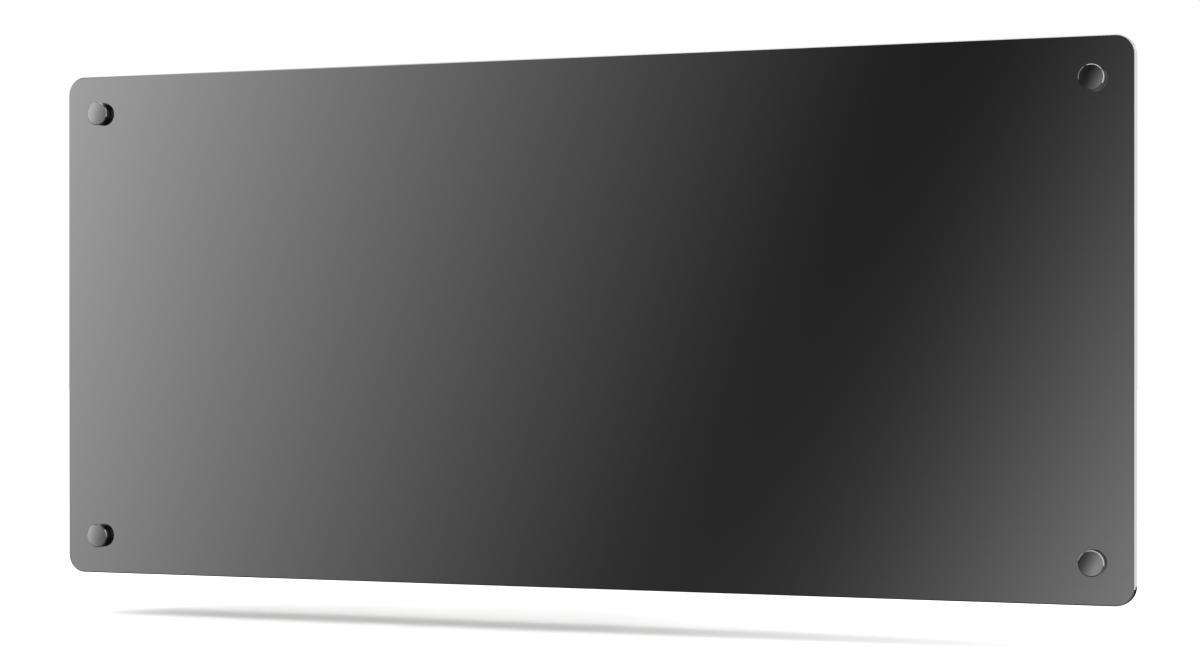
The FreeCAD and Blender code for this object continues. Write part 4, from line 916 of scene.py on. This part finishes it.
class HEATER_OT_grille(Operator):
    """Makes the warm air grille, with leaning blades and cross ribs"""

    bl_idname = "heater.grille"
    bl_label = "Outlet grille"

    # Radius of a blade's upper edges, as a share of its thickness
    BLADE_ROUND = 0.35

    def execute(self, context):
        style = context.scene.heater_casing
        low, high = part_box("outlet_grille")
        base = high.z - style.rim_height
        inside = style.rim_width + style.neck_wall
        rim = inset_block(low, high, 0, base, high.z)
        neck = inset_block(low, high, style.rim_width + FIT, low.z, base + BITE)
        bm = carved(united([rim, neck]), inset_block(low, high, inside, low.z - PAST, high.z + PAST))
        soften(bm, style.round_over, 3, at(Z, high.z))
        opening = low + (X + Y) * inside, high - (X + Y) * inside
        bm = united([bm, *self.blades(style, *opening), *self.ribs(style, *opening)])
        coat = powder_coat(style.coat)
        piece("warm_air_grille", bm, [coat], "heater", ["outlet_grille"])
        return {"FINISHED"}

    def blades(self, style, low, high):
        """The blades, which lean to the front so that the air leaves away from the wall."""
        pitch = (high.y - low.y) / style.blades
        foot, head = low.z + FLUSH, high.z - FLUSH
        for i in range(style.blades):
            rear = high.y - pitch * (i + 0.5)
            blade = block((low.x - BITE, rear - style.blade, foot), (high.x + BITE, rear, head))
            top = [vert for vert in blade.verts if vert.co.z > (foot + head) / 2]
            bmesh.ops.translate(blade, vec=-Y * style.lean, verts=top)
            yield soften(blade, self.BLADE_ROUND * style.blade, 3, at(Z, head))

    def ribs(self, style, low, high):
        """The cross ribs under the blades."""
        pitch = (high.x - low.x) / (style.ribs + 1)
        foot, head = low.z + 2 * FLUSH, (low.z + high.z) / 2
        half = style.blade / 2
        for i in range(style.ribs):
            x = low.x + pitch * (i + 1)
            yield block((x - half, low.y - BITE, foot), (x + half, high.y + BITE, head))


class HEATER_OT_controls(Operator):
    """Makes the control panel with its dial numbers, and the pilot lamp"""

    bl_idname = "heater.controls"
    bl_label = "Control panel"

    # Diameter of the dial's dot, as a share of the numbers' height
    DOT = 0.4
    # The lamp: its seat's height over its rise, its rim's height over its seat's, and steps up the dome
    SEAT, RIM_RISE, DOME_STEPS = 0.45, 1.3, 8
    # Shares of the lamp's flange: where its rim and its lens end, and inside which a face is the lens's
    RIM, LENS, LENS_FACES = 0.86, 0.8, 0.79

    def execute(self, context):
        style = context.scene.heater_controls
        self.panel(style)
        self.dial(style)
        self.lamp(style)
        return {"FINISHED"}

    def panel(self, style):
        """The moulded panel: a plate with round corners, a skirt below and a hole for each fitting."""
        low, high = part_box("control_panel")
        base = high.z - style.panel_height
        bm = plate((low.x, low.y, base), high, style.panel_corner)
        soften(bm, style.panel_round, 4, at(Z, high.z))
        rim = style.panel_rim + FIT
        skirt = inset_block(low, high, rim, low.z, base + PAST)
        inside = inset_block(low, high, rim + style.panel_wall, low.z - PAST, base)
        bm = carved(bm, carved(skirt, inside), "UNION")
        bottom, top = base - PAST, high.z + PAST
        for node, width in (("thermostat_knob", style.neck_hole), ("pilot_lamp", style.lamp_hole)):
            bm = carved(bm, rod(width, middle_of(node, z=bottom), middle_of(node, z=top)))
        for name in SWITCHES:
            bm = carved(bm, inset_block(*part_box(f"{name}_switch_body"), style.bezel - FIT, bottom, top))
        grained_black = panel_plastic(style.plastic)
        piece("control_panel_moulding", bm, [grained_black], "heater", ["control_panel"])

    def dial(self, style):
        """The numbers round the knob, and a dot for its lowest setting."""
        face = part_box("control_panel")[1].z
        sweep = math.radians(JOINTS["thermostat_turn"]["range_deg"][1])
        marks = []
        for i in range(style.settings + 1):
            turn = style.rest_turn + sweep * i / style.settings
            way = Vector((-math.sin(turn), -math.cos(turn), 0))
            place = middle_of("thermostat_knob", z=face) + way * style.dial_radius
            dot = self.DOT * style.digit
            mark = lettering(str(i), style.digit) if i else rod(dot, -Z * INK, Z * INK, TINY)
            marks.append(placed(mark, Matrix.Translation(place)))
        piece("dial_print", joined(marks), [print_ink(style.ink)], "heater", [])

    def lamp(self, style):
        """The pilot lamp: a domed lens in a bezel."""
        low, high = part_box("pilot_lamp")
        place = middle_of("pilot_lamp", z=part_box("control_panel")[1].z)
        flange, rise, foot = (high.x - low.x) / 2, high.z - place.z, low.z - place.z
        neck, seat = style.lamp_hole / 2 - FIT, self.SEAT * rise
        rim, lens, rim_top = self.RIM * flange, self.LENS * flange, self.RIM_RISE * seat
        turns = [math.pi / 2 * i / self.DOME_STEPS for i in range(self.DOME_STEPS + 1)]
        dome = [(lens * math.cos(turn), seat + (rise - seat) * math.sin(turn)) for turn in turns]
        stem = [(0, foot), (neck, foot), (neck, 0)]
        bezel = [(flange, 0), (flange, seat), (rim, rim_top), (lens, rim_top)]
        bm = lathe(stem + bezel + dome, place, Z, SMALL)
        finishes = (lamp_lens(style.lens), bezel_plastic(style.plastic))
        lamp = piece("pilot_lamp_lens", bm, finishes, "heater", ["pilot_lamp"])
        for face in lamp.data.polygons:
            out = (face.center - place).xy.length
            face.material_index = 1 if out > self.LENS_FACES * flange or face.center.z < place.z else 0


class HEATER_OT_knob(Operator):
    """Makes the fluted thermostat knob with its pointer line"""

    bl_idname = "heater.knob"
    bl_label = "Thermostat knob"

    # The skirt's rounded edge, as shares of its radius and height
    SKIRT = ((1, 0), (1, 0.6), (0.97, 0.92), (0.92, 1))
    # The grip's fillet on the skirt, the roll of its upper edge, the dip of its top and the lip round that
    FILLET, ROLL, DIP, LIP = 0.4 * MM, 1.6 * MM, 0.5 * MM, 0.1 * MM
    # How far in the flutes reach, the share of the grip's radius where the dip starts, and steps per flute
    FLUTE_REACH, DIP_SHARE, FLUTE_STEPS = 1 * MM, 0.72, 12
    # The pointer groove's start as a share of the grip's radius, and the line's share of the groove's width
    POINTER_START, LINE_SHARE = 0.25, 0.94
    # How far the line stays from the grip's edge, under the grip's top and sunk into the groove's floor
    LINE_RIM, LINE_TOP, LINE_SUNK = 1.3 * MM, 0.55 * MM, 0.1 * MM

    def execute(self, context):
        style = context.scene.heater_controls
        node = "thermostat_knob"
        low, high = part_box(node)
        height, grip = high.z - low.z, style.grip / 2
        turn = Matrix.Translation(middle_of(node, z=low.z)) @ Matrix.Rotation(-style.rest_turn, 4, Z)
        start, floor = -self.POINTER_START * grip, height - style.pointer_depth
        wide = style.pointer_width / 2
        groove = block((-wide, -grip - PAST, floor), (wide, start, height + PAST))
        bm = carved(self.fluted(style, (high.x - low.x) / 2, height), groove)
        satin = knob_plastic(style.plastic)
        piece("thermostat_knob_fluted", placed(bm, turn), [satin], "knob", [node])
        wide *= self.LINE_SHARE
        foot, top = floor - self.LINE_SUNK, height - self.LINE_TOP
        line = block((-wide, self.LINE_RIM - grip, foot), (wide, start - FLUSH, top))
        soften(line, style.pointer_round, 2)
        ink = print_ink(style.ink)
        piece("thermostat_pointer_line", placed(line, turn), [ink], "knob", [])
        dress(brass(), "thermostat_shaft")
        dress(zinc_plate(), "thermostat_nut")
        dress(bakelite(), "thermostat_body")
        return {"FINISHED"}

    def fluted(self, style, skirt, height):
        """The knob's turned form, hollow below and with its grip pressed into flutes."""
        grip, hollow, step = style.grip / 2, style.recess_width / 2, style.skirt_height
        profile = [(0, style.recess), (hollow, style.recess), (hollow, 0)]
        profile += [(skirt * out, step * up) for out, up in self.SKIRT]
        profile += [
            (grip + self.FILLET, step), (grip, step + self.FILLET), (grip, height / 2),
            (grip, height - self.ROLL), (grip - self.DIP, height - self.DIP),
            (grip - self.ROLL - self.LIP, height), (self.DIP_SHARE * grip, height - self.LIP),
            (0, height - self.DIP),
        ]
        bm = lathe(profile, ORIGIN, Z, self.FLUTE_STEPS * style.flutes)
        for vert in bm.verts:
            out = vert.co.xy.length
            if vert.co.z > step + self.FILLET / 2 and out > grip - self.FLUTE_REACH:
                wave = math.cos(style.flutes * math.atan2(vert.co.y, vert.co.x))
                vert.co.xy *= 1 - style.flute_depth / out * (0.5 + 0.5 * wave) ** 2
        return bm


class HEATER_OT_switches(Operator):
    """Makes the two rocker switches, with their bezels and on and off signs"""

    bl_idname = "heater.switches"
    bl_label = "Rocker switches"

    # Edges of the rocker's outline shorter than this would stop its rounding
    SHORT = 0.3 * MM
    # Where the signs stand, as a share of the rocker's radius
    SIGN_PLACE = 0.45

    def execute(self, context):
        style = context.scene.heater_controls
        black, gloss = switch_plastic(style.plastic), rocker_plastic(style.plastic)
        ink = print_ink(style.ink)
        for name in SWITCHES:
            self.box(style, name, black)
            self.rocker(style, name, gloss, ink)
        return {"FINISHED"}

    def box(self, style, name, black):
        """The switch's bezel and box, with a well for the rocker and tabs below."""
        node = f"{name}_switch_body"
        low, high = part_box(node)
        face = high.z - style.bezel_height
        foot = face - style.switch_depth
        bm = plate((*low.xy, face), high, style.bezel_corner, segments=4)
        soften(bm, style.bezel_round, 3, at(Z, high.z))
        bm = carved(bm, inset_block(low, high, style.bezel, foot, face + PAST), "UNION")
        wall = style.bezel + style.switch_wall
        bm = carved(bm, inset_block(low, high, wall, face - style.switch_well, high.z + PAST))
        half = Vector((style.tab_thickness / 2, style.tab_width / 2, 0))
        tabs = []
        for row in (-1, 0, 1):
            aside = Y * (row * style.tab_pitch)
            start, end = middle_of(node, z=low.z) + aside, middle_of(node, z=foot + BITE) + aside
            tabs.append(block(start - half, end + half))
        piece(f"{name}_switch_bezel", united([bm, *tabs]), [black], "heater", [node])

    def rocker(self, style, name, gloss, ink):
        """The rocker on its trunnions, tilted to off, and its signs."""
        body = f"{name}_rocker"
        pivot = Vector(JOINTS[f"{name}_switch"]["pos_m"])
        rest = Matrix.Translation(pivot) @ Matrix.Rotation(style.rocker_tilt, 4, X)
        low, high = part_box(body)
        trunnions = rod(style.trunnion, X * (low.x - pivot.x), X * (high.x - pivot.x), TINY)
        bm = united([self.drum(style), trunnions])
        piece(f"{name}_rocker_gloss", placed(bm, rest), [gloss], body, [body])
        signs = []
        for text, side in (("I", 1), ("O", -1)):
            tilt = Matrix.Rotation(side * style.rocker_tilt, 4, X)
            aside = side * self.SIGN_PLACE * style.rocker_radius
            spot = Z * (style.rocker_crown + INK / 2) + tilt @ Y * aside
            signs.append(placed(lettering(text, style.sign), rest @ Matrix.Translation(spot) @ tilt))
        piece(f"{name}_rocker_marks", joined(signs), [ink], body, [])

    def drum(self, style):
        """A drum along X, dished on top and flat below: half its outline is cut, mirrored and drawn out."""
        bm = bmesh.new()
        bmesh.ops.create_circle(bm, cap_ends=True, segments=MEDIUM, radius=style.rocker_radius)
        placed(bm, Matrix.Rotation(math.pi / 2, 4, Z) @ Matrix.Rotation(math.pi / 2, 4, X))
        slope = Matrix.Rotation(style.rocker_tilt, 3, X) @ Z
        crown = Z * style.rocker_crown
        for point, normal in ((ORIGIN, -Y), (crown, slope), (-crown, -Z)):
            bmesh.ops.bisect_plane(
                bm, geom=bm.verts[:] + bm.edges[:] + bm.faces[:], dist=MERGE, plane_co=point,
                plane_no=normal, clear_outer=True,
            )
        bmesh.ops.remove_doubles(bm, verts=bm.verts, dist=self.SHORT)
        bmesh.ops.mirror(bm, geom=bm.verts[:] + bm.edges[:] + bm.faces[:], axis="Y", merge_dist=MERGE)
        bmesh.ops.dissolve_edges(bm, edges=[edge for edge in bm.edges if len(edge.link_faces) == 2])
        extruded(bm, X * style.rocker_width)
        bmesh.ops.translate(bm, vec=-X * style.rocker_width / 2, verts=bm.verts)
        return soften(bm, style.rocker_round, 3)


class HEATER_OT_supply(Operator):
    """Makes the cable gland, and dresses the supply terminals"""

    bl_idname = "heater.supply"
    bl_label = "Cable gland"

    # How the dome's mouth rolls in: lengths in from its radius and back from its end
    LIP = ((0, 1.5 * MM), (0.5 * MM, 0.4 * MM), (1.6 * MM, 0))
    # Share of the thread's radius that the dome's shoulder has
    SHOULDER = 0.98
    # Steps round each grip rib, and how far the ribs stay from the dome's ends
    RIB_STEPS, RIB_MARGIN = 8, 1 * MM

    def execute(self, context):
        style = context.scene.heater_supply
        low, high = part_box("cable_gland")
        wall = high.z - style.rise
        end = wall - low.z
        sixth = math.pi / 6
        hexagon = rod((high.x - low.x) / math.cos(sixth), ORIGIN, Z * style.flats_height, 6)
        soften(placed(hexagon, Matrix.Rotation(sixth, 4, Z)), style.flats_round, 2)
        neck = rod(style.thread, Z * -style.rise, Z * BITE, SMALL)
        bm = carved(united([hexagon, self.dome(style, end), neck]), self.way(style, end))
        turn = Matrix.Translation(middle_of("cable_gland", z=wall)) @ Matrix.Rotation(math.pi, 4, X)
        black = gland_plastic(context.scene.heater_controls.plastic)
        piece("cable_gland_ribbed", placed(bm, turn), [black], "heater", ["cable_gland"])
        dress(black, "gland_nut")
        dress(steatite(), "terminal_block")
        return {"FINISHED"}

    def dome(self, style, end):
        """The dome nut, which tapers to its mouth, with grip ribs pressed round it."""
        radius, mouth, start = style.thread / 2, style.dome_end / 2, style.flats_height - BITE
        profile = [(0, start), (radius, start), (radius, start + style.grip_length)]
        profile += [(self.SHOULDER * radius, start + style.shoulder)]
        profile += [(mouth - inwards, end - back) for inwards, back in self.LIP]
        bm = lathe(profile + [(0, end)], ORIGIN, Z, self.RIB_STEPS * style.ribs)
        for vert in bm.verts:
            if start + self.RIB_MARGIN < vert.co.z < end - self.RIB_MARGIN:
                wave = math.cos(style.ribs * math.atan2(vert.co.y, vert.co.x))
                vert.co.xy *= 1 - style.rib_depth / vert.co.xy.length * (0.5 + 0.5 * wave)
        return bm

    def way(self, style, end):
        """The cable's way, as the form that cuts it out, with a cone for its mouth."""
        bore, foot, top = style.bore / 2, -style.rise - PAST, end + style.mouth
        cone = [(bore, end - style.mouth), (bore + 2 * style.mouth, top)]
        return lathe([(0, foot), (bore, foot), *cone, (0, top)], ORIGIN, Z, SMALL)


class HEATER_OT_mounting(Operator):
    """Makes the wall brackets, their quarter-turn latches and the spacers"""

    bl_idname = "heater.mounting"
    bl_label = "Wall mounting"

    # Steps round a fold of the brackets
    FOLD_STEPS = 5
    # The ears' edges are rounded from this many thicknesses of the sheet off the wall
    EAR_START = 1.1
    # The rivet head's outline, as shares of its radius and height
    RIVET = ((0, 0), (1, 0), (1, 0.3), (0.8, 0.8), (0.4, 1), (0, 1))
    # The groove round a spacer: places up its height and shares of its depth
    GROOVE = ((0.45, 0), (0.5, 1), (0.55, 0))
    # How the chamfer at a spacer's tip lies across the tip's radius
    TIP_OUT, TIP_IN = 0.2, 0.8

    def execute(self, context):
        style = context.scene.heater_mounting
        sheet, zinc = galvanised(), zinc_plate()
        matt = spacer_plastic(context.scene.heater_controls.plastic)
        for side in SIDES:
            self.bracket(style, side, sheet)
            self.latch(style, side, zinc)
            self.spacer(style, side, matt)
        return {"FINISHED"}

    def bracket(self, style, side, sheet):
        """A folded channel with screw slots, two hooks and a joggled ear for the latch."""
        node = f"{side}_wall_bracket"
        low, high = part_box(node)
        front = -style.flange
        bm = self.folded(style, [(low.x, front), (low.x, 0), (high.x, 0), (high.x, front)], low.z)
        half = Vector((style.slot_length / 2, 0, style.slot_width / 2))
        for z in (-style.slot_spacing / 2, style.slot_spacing / 2):
            start = middle_of(node, y=-style.plate - PAST, z=z) - half
            end = middle_of(node, y=PAST, z=z) + half
            bm = carved(bm, plate(start, end, style.slot_width / 2, upright=True))
        hooks = [self.hook(style, flange) for flange in (low.x, high.x - style.plate)]
        bm = united([bm, self.ear(style, side, high.z), *hooks])
        piece(f"{side}_bracket_folded", bm, [sheet], "heater", [node])

    def folded(self, style, path, foot):
        """An upright sheet of real thickness, with round folds along a path of (x, y) points."""
        bm = bmesh.new()
        verts = [bm.verts.new((x, y, foot)) for x, y in path]
        edges = [bm.edges.new(pair) for pair in zip(verts, verts[1:])]
        drawn(bm, bmesh.ops.extrude_edge_only(bm, edges=edges), Z * (style.top - foot))
        bmesh.ops.bevel(
            bm, geom=[edge for edge in bm.edges if len(edge.link_faces) == 2], offset=style.fold,
            segments=self.FOLD_STEPS, profile=0.5, affect="EDGES", material=-1,
        )
        bmesh.ops.recalc_face_normals(bm, faces=bm.faces)
        bmesh.ops.solidify(bm, geom=bm.faces[:], thickness=style.plate)
        bmesh.ops.recalc_face_normals(bm, faces=bm.faces)
        return bm

    def ear(self, style, side, top):
        """The ear: a strip folded off the channel's top and up again, with the latch's pivot hole."""
        pivot = Vector(JOINTS[f"{side}_latch_turn"]["pos_m"])
        back, front = -style.ear_offset, -style.ear_offset - style.plate
        root, shelf, shelf_top = BITE - style.plate, style.top - style.plate, style.top - FLUSH
        points = [(root, shelf), (root, shelf_top), (back, shelf_top)]
        points += [(back, top), (front, top), (front, shelf)]
        bm = outline([(pivot.x - style.ear_width / 2, y, z) for y, z in points], X * style.ear_width)
        soften(bm, style.ear_round, 3, lambda middle: middle.y < -self.EAR_START * style.plate)
        ends = [(pivot.x, y, pivot.z) for y in (front - PAST, back + PAST)]
        return carved(bm, rod(style.pivot, *ends))

    def hook(self, style, x):
        """A hook on a flange: an arm through the casing's back, and a finger up inside it."""
        foot, top = -style.hook_drop, style.hook_height - style.hook_drop
        root, back = BITE - style.flange, -style.flange - style.hook_pinch
        front, tip = back - style.hook_pinch, top + style.hook_finger
        points = [(root, foot), (root, top), (back, top), (back, tip), (front, tip)]
        points += [(front, foot + style.hook_pinch), (front + style.hook_pinch, foot)]
        bm = outline([(x + FLUSH, y, z) for y, z in points], X * (style.plate - 2 * FLUSH))
        return soften(bm, style.hook_round, 2, lambda middle: middle.y < -style.flange - NEAR)

    def latch(self, style, side, zinc):
        """A latch: a lever with a folded tab, a pivot with a rivet head, and a T head in the casing."""
        node = f"{side}_latch"
        low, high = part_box(node)
        x, _, z = JOINTS[f"{side}_latch_turn"]["pos_m"]
        half, tall = style.lever_width / 2, style.lever_height
        back = -style.ear_offset - style.plate - style.gap
        lever = plate((x - half, back - tall, z - half), (x + half, back, high.z), half, upright=True)
        soften(lever, style.lever_round, 2)
        tab_half, tab_top = half - BITE, high.z - half + tall / 2
        tab = block(
            (x - tab_half, back - 2 * BITE, tab_top - tall), (x + tab_half, back + style.tab, tab_top)
        )
        head_half = style.head_width / 2
        head = block((low.x, low.y, z - head_half), (high.x, low.y + style.head_height, z + head_half))
        for part in (tab, head):
            soften(part, style.head_round, 2)
        pin = rod(style.pivot, (x, low.y + PAST, z), (x, high.y - PAST, z), SMALL)
        radius, height = style.rivet / 2, style.rivet_height
        button = [(radius * out, height * up) for out, up in self.RIVET]
        rivet = lathe(button, Vector((x, high.y - height, z)), Y, SMALL)
        bm = united([lever, tab, head, pin, rivet])
        piece(f"{side}_latch_lever", bm, [zinc], node, [node])

    def spacer(self, style, side, matt):
        """A spacer that tapers to the wall, with a groove round it and a pin in the casing."""
        node = f"{side}_wall_spacer"
        low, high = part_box(node)
        wide, tip, pin = (high.x - low.x) / 2, style.spacer_tip / 2, style.spacer_pin / 2
        foot, edge = -style.spacer_pin_length, style.spacer_edge
        tall = high.y - low.y + foot
        profile = [(0, foot), (pin, foot), (pin, 0), (wide, 0)]
        for place, depth in self.GROOVE:
            profile.append((wide + (tip - wide) * place - depth * style.spacer_groove, place * tall))
        profile += [(tip + self.TIP_OUT * edge, tall - edge), (tip - self.TIP_IN * edge, tall), (0, tall)]
        seat = high.y - tall
        bm = lathe(profile, middle_of(node, y=seat), Y)
        soften(bm, style.spacer_round, 3, lambda middle: middle.y > seat - NEAR)
        piece(f"{side}_spacer_tapered", bm, [matt], "heater", [node])


class HEATER_OT_heating(Operator):
    """Dresses the element, its rods and what holds them"""

    bl_idname = "heater.heating"
    bl_label = "Heating element"

    def execute(self, context):
        dress(cast_aluminium(), "heating_element")
        dress(heated_steel(), "upper_heating_rod", "lower_heating_rod")
        dress(steatite(), "ceramic_bushes")
        dress(brass(), "rod_terminals")
        dress(bakelite(), "thermal_cutout")
        dress(bright_aluminium(), "heat_shield")
        stands = [f"{side}_element_bracket" for side in SIDES]
        dress(galvanised(), "heat_barrier", "cutout_bracket", *stands)
        return {"FINISHED"}


class HEATER_OT_stage(Operator):
    """Sets the floor, the lights, the reflected panels and the camera"""

    bl_idname = "heater.stage"
    bl_label = "Studio"

    # Ramps of light on a panel: their way, how far along it they start and are full, their peak and curve
    LEFT_RAMP = (-0.940, 0, 0.340), 0.253, 2.7, 10.8, 2.12
    RIGHT_RAMP = (0.877, 0, -0.481), -0.824, 0.24, 5.64, 2.22
    OVERHEAD_RAMP = (1, 0, 0), -1.6, -0.4, 12, 1
    # Graded panels: two corners and their ramps. The glass mirrors the first, and its top bevel the second.
    GRADED = {
        "front_panel": ((-3.6, -3.01, -1.0), (1.6, -3.0, 1.4), (LEFT_RAMP, RIGHT_RAMP)),
        "overhead_panel": ((-1.6, -0.4, 1.6), (1.6, 0.6, 1.61), (OVERHEAD_RAMP,)),
    }
    # Even panels, which draw the bevels and edges: two corners and the light, 0 for a black one
    EVEN = {
        "upper_left_panel": ((-2.2, -1.05, 1.6), (-0.9, -0.5, 1.61), 18),
        "left_panel": ((-2.05, -1.12, 0.1), (-2.0, -0.5, 1.6), 18),
        "right_panel": ((1.6, -0.5, -0.5), (1.65, -0.2, 1.6), 15),
        "front_right_panel": ((1.45, -1.45, -0.6), (1.6, -1.15, 2.2), 10),
        "rear_panel": ((0.55, 1.5, -0.34), (1.1, 1.51, 1.0), 2),
        "black_rear_panel": ((-0.6, 1.5, -1.4), (1.1, 1.51, -0.34), 0),
        "black_under_panel": ((-1.2, -0.1, -0.61), (0.9, 0.1, -0.6), 0),
    }
    # Where the soft lights stand: the key at the front left, the other behind
    KEY_PLACE, REAR_PLACE = Vector((-1.6, -2.2, 2.4)), Vector((1.8, 2.6, 2.2))
    # Painted light on the floor, which washes out the heater's shadow away from its left end: where the
    # light starts and is full, as shares of the heater's width
    GLOW_START, GLOW_FULL = 0.25, 0.75

    def execute(self, context):
        scene = context.scene
        style = scene.heater_stage
        scene.view_settings.view_transform = "Standard"
        self.surroundings(scene, style)
        self.floor(style)
        for name, (low, high, ramps) in self.GRADED.items():
            self.reflected(name, low, high, self.graded_light(name, ramps))
        for name, (low, high, strength) in self.EVEN.items():
            self.reflected(name, low, high, self.light(name, strength)[0])
        self.lamp(scene, style, "key_light", self.KEY_PLACE, style.key)
        self.lamp(scene, style, "rear_light", self.REAR_PLACE, style.rear)
        self.camera(scene, style)
        return {"FINISHED"}

    def surroundings(self, scene, style):
        """White all round."""
        scene.world = bpy.data.worlds.new("White studio")
        scene.world.use_nodes = True
        backdrop = scene.world.node_tree.nodes["Background"]
        backdrop.inputs["Color"].default_value = (1, 1, 1, 1)
        backdrop.inputs["Strength"].default_value = style.sky

    def floor(self, style):
        """A pale paper floor, clear from below, with painted light that grows away from the heater's left
        end, so the heater's shadow shows only there.
        """
        bm = bmesh.new()
        bmesh.ops.create_circle(bm, cap_ends=True, segments=LARGE, radius=style.floor_radius)
        level = CAD_BOX[0].z - style.floor_drop
        sweep = shown("paper_floor", placed(bm, Matrix.Translation(Z * level)))
        material, tree, shader, coords = finish("Studio paper, white", Emission_Color=(1, 1, 1, 1))
        noise = {"Scale": 1 / (8 * MM), "Detail": 4}
        fibre = add_node(tree, "ShaderNodeTexNoise", noise, {"Vector": coords})
        vary(tree, shader, fibre.outputs[0], tones(style.paper, 0.985, 1), roughness=(0.8, 0.9))
        # Painted light: the floor's own light grows with the distance from a spot near the heater's left
        # end
        width = CAD_BOX[1].x - CAD_BOX[0].x
        start, full = self.GLOW_START * width, self.GLOW_FULL * width
        spot = (CAD_BOX[0].x + start, 0, level)
        away = add_node(tree, "ShaderNodeVectorMath", {"operation": "DISTANCE", 1: spot}, {0: coords})
        fade = {"From Min": start, "From Max": full, "To Max": style.paper_glow}
        painted_light = add_node(tree, "ShaderNodeMapRange", fade, {"Value": away.outputs["Value"]})
        tree.links.new(painted_light.outputs[0], shader.inputs["Emission Strength"])
        side = add_node(tree, "ShaderNodeNewGeometry").outputs["Backfacing"]
        clear = add_node(tree, "ShaderNodeBsdfTransparent").outputs[0]
        cover = add_node(tree, "ShaderNodeMixShader", links={0: side, 1: shader.outputs[0], 2: clear})
        tree.links.new(cover.outputs[0], tree.nodes["Material Output"].inputs["Surface"])
        sweep.data.materials.append(material)
        sweep.visible_glossy = False
        sweep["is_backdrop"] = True

    def reflected(self, name, low, high, material):
        """A thin panel that only shows in reflections."""
        panel = shown(name, block(low, high))
        panel.data.materials.append(material)
        panel.visible_camera = False
        panel.visible_diffuse = False
        panel.visible_shadow = False
        panel.visible_transmission = False
        panel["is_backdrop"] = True

    def light(self, name, strength):
        """The material of an evenly lit panel, with its tree and light."""
        material = bpy.data.materials.new(name.replace("_", " ").capitalize())
        material.use_nodes = True
        tree = material.node_tree
        tree.nodes.clear()
        light = add_node(tree, "ShaderNodeEmission", {"Strength": strength})
        add_node(tree, "ShaderNodeOutputMaterial", links={"Surface": light.outputs[0]})
        return material, tree, light

    def graded_light(self, name, ramps):
        """The material of a panel whose light is the sum of ramps."""
        material, tree, light = self.light(name, 0)
        coords = add_node(tree, "ShaderNodeTexCoord").outputs["Object"]
        total = light.inputs["Strength"]
        for way, start, full, peak, curve in ramps:
            project = {"operation": "DOT_PRODUCT", 1: way}
            along = add_node(tree, "ShaderNodeVectorMath", project, {0: coords})
            ends = {"From Min": start, "From Max": full}
            ramp = add_node(tree, "ShaderNodeMapRange", ends, {"Value": along.outputs["Value"]})
            bend = {"operation": "POWER", 1: curve}
            bent = add_node(tree, "ShaderNodeMath", bend, {0: ramp.outputs[0]})
            add_up = {"operation": "MULTIPLY_ADD", 1: peak, 2: 0}
            part = add_node(tree, "ShaderNodeMath", add_up, {0: bent.outputs[0]})
            tree.links.new(part.outputs[0], total)
            total = part.inputs[2]
        return material

    def lamp(self, scene, style, name, place, power):
        """A soft light that looks at the heater and isn't seen itself."""
        lamp = bpy.data.lights.new(name, "AREA")
        lamp.energy = power
        lamp.size = style.lamp_size
        holder = bpy.data.objects.new(name, lamp)
        holder.location = place
        holder.rotation_euler = (-place).to_track_quat("-Z", "Y").to_euler()
        holder.visible_camera = False
        scene.collection.objects.link(holder)

    def camera(self, scene, style):
        """A level camera to the right of the heater, turned to it."""
        lens = bpy.data.cameras.new("studio_camera")
        lens.lens = style.lens
        lens.shift_y = style.camera_rise
        holder = bpy.data.objects.new("studio_camera", lens)
        holder.location = style.camera_place
        holder.rotation_euler = (math.pi / 2, 0, style.camera_turn)
        scene.collection.objects.link(holder)
        scene.camera = holder


PIECES = (
    HEATER_OT_glass,
    HEATER_OT_standoffs,
    HEATER_OT_casing,
    HEATER_OT_grille,
    HEATER_OT_controls,
    HEATER_OT_knob,
    HEATER_OT_switches,
    HEATER_OT_supply,
    HEATER_OT_mounting,
    HEATER_OT_heating,
    HEATER_OT_stage,
)


class HEATER_PT_panel(Panel):
    """Lists the heater's pieces and their settings"""

    bl_idname = "HEATER_PT_panel"
    bl_label = "Glass convector heater"
    bl_space_type = "VIEW_3D"
    bl_region_type = "UI"
    bl_category = "Heater"

    def draw(self, context):
        for kind in PIECES:
            self.layout.operator(kind.bl_idname)
        for name, group in SETTINGS.items():
            box = self.layout.box()
            box.label(text=group.__doc__)
            for key in group.__annotations__:
                box.prop(getattr(context.scene, name), key)


def register():
    """Makes the settings, operators and panel known."""
    for kind in (*SETTINGS.values(), *PIECES, HEATER_PT_panel):
        bpy.utils.register_class(kind)
    for name, group in SETTINGS.items():
        setattr(bpy.types.Scene, name, PointerProperty(type=group))


def unregister():
    """Takes them away again."""
    for name in SETTINGS:
        delattr(bpy.types.Scene, name)
    for kind in (HEATER_PT_panel, *reversed(PIECES), *SETTINGS.values()):
        bpy.utils.unregister_class(kind)


def main():
    """Makes every piece and the studio, and works out the size."""
    register()
    for kind in PIECES:
        getattr(bpy.ops.heater, kind.bl_idname.split(".")[1])()
    boxes = {"cad": CAD_BOX, "visual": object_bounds()}
    {name: [list(corner) for corner in box] for name, box in boxes.items()}


if __name__ == "__main__":
    main()
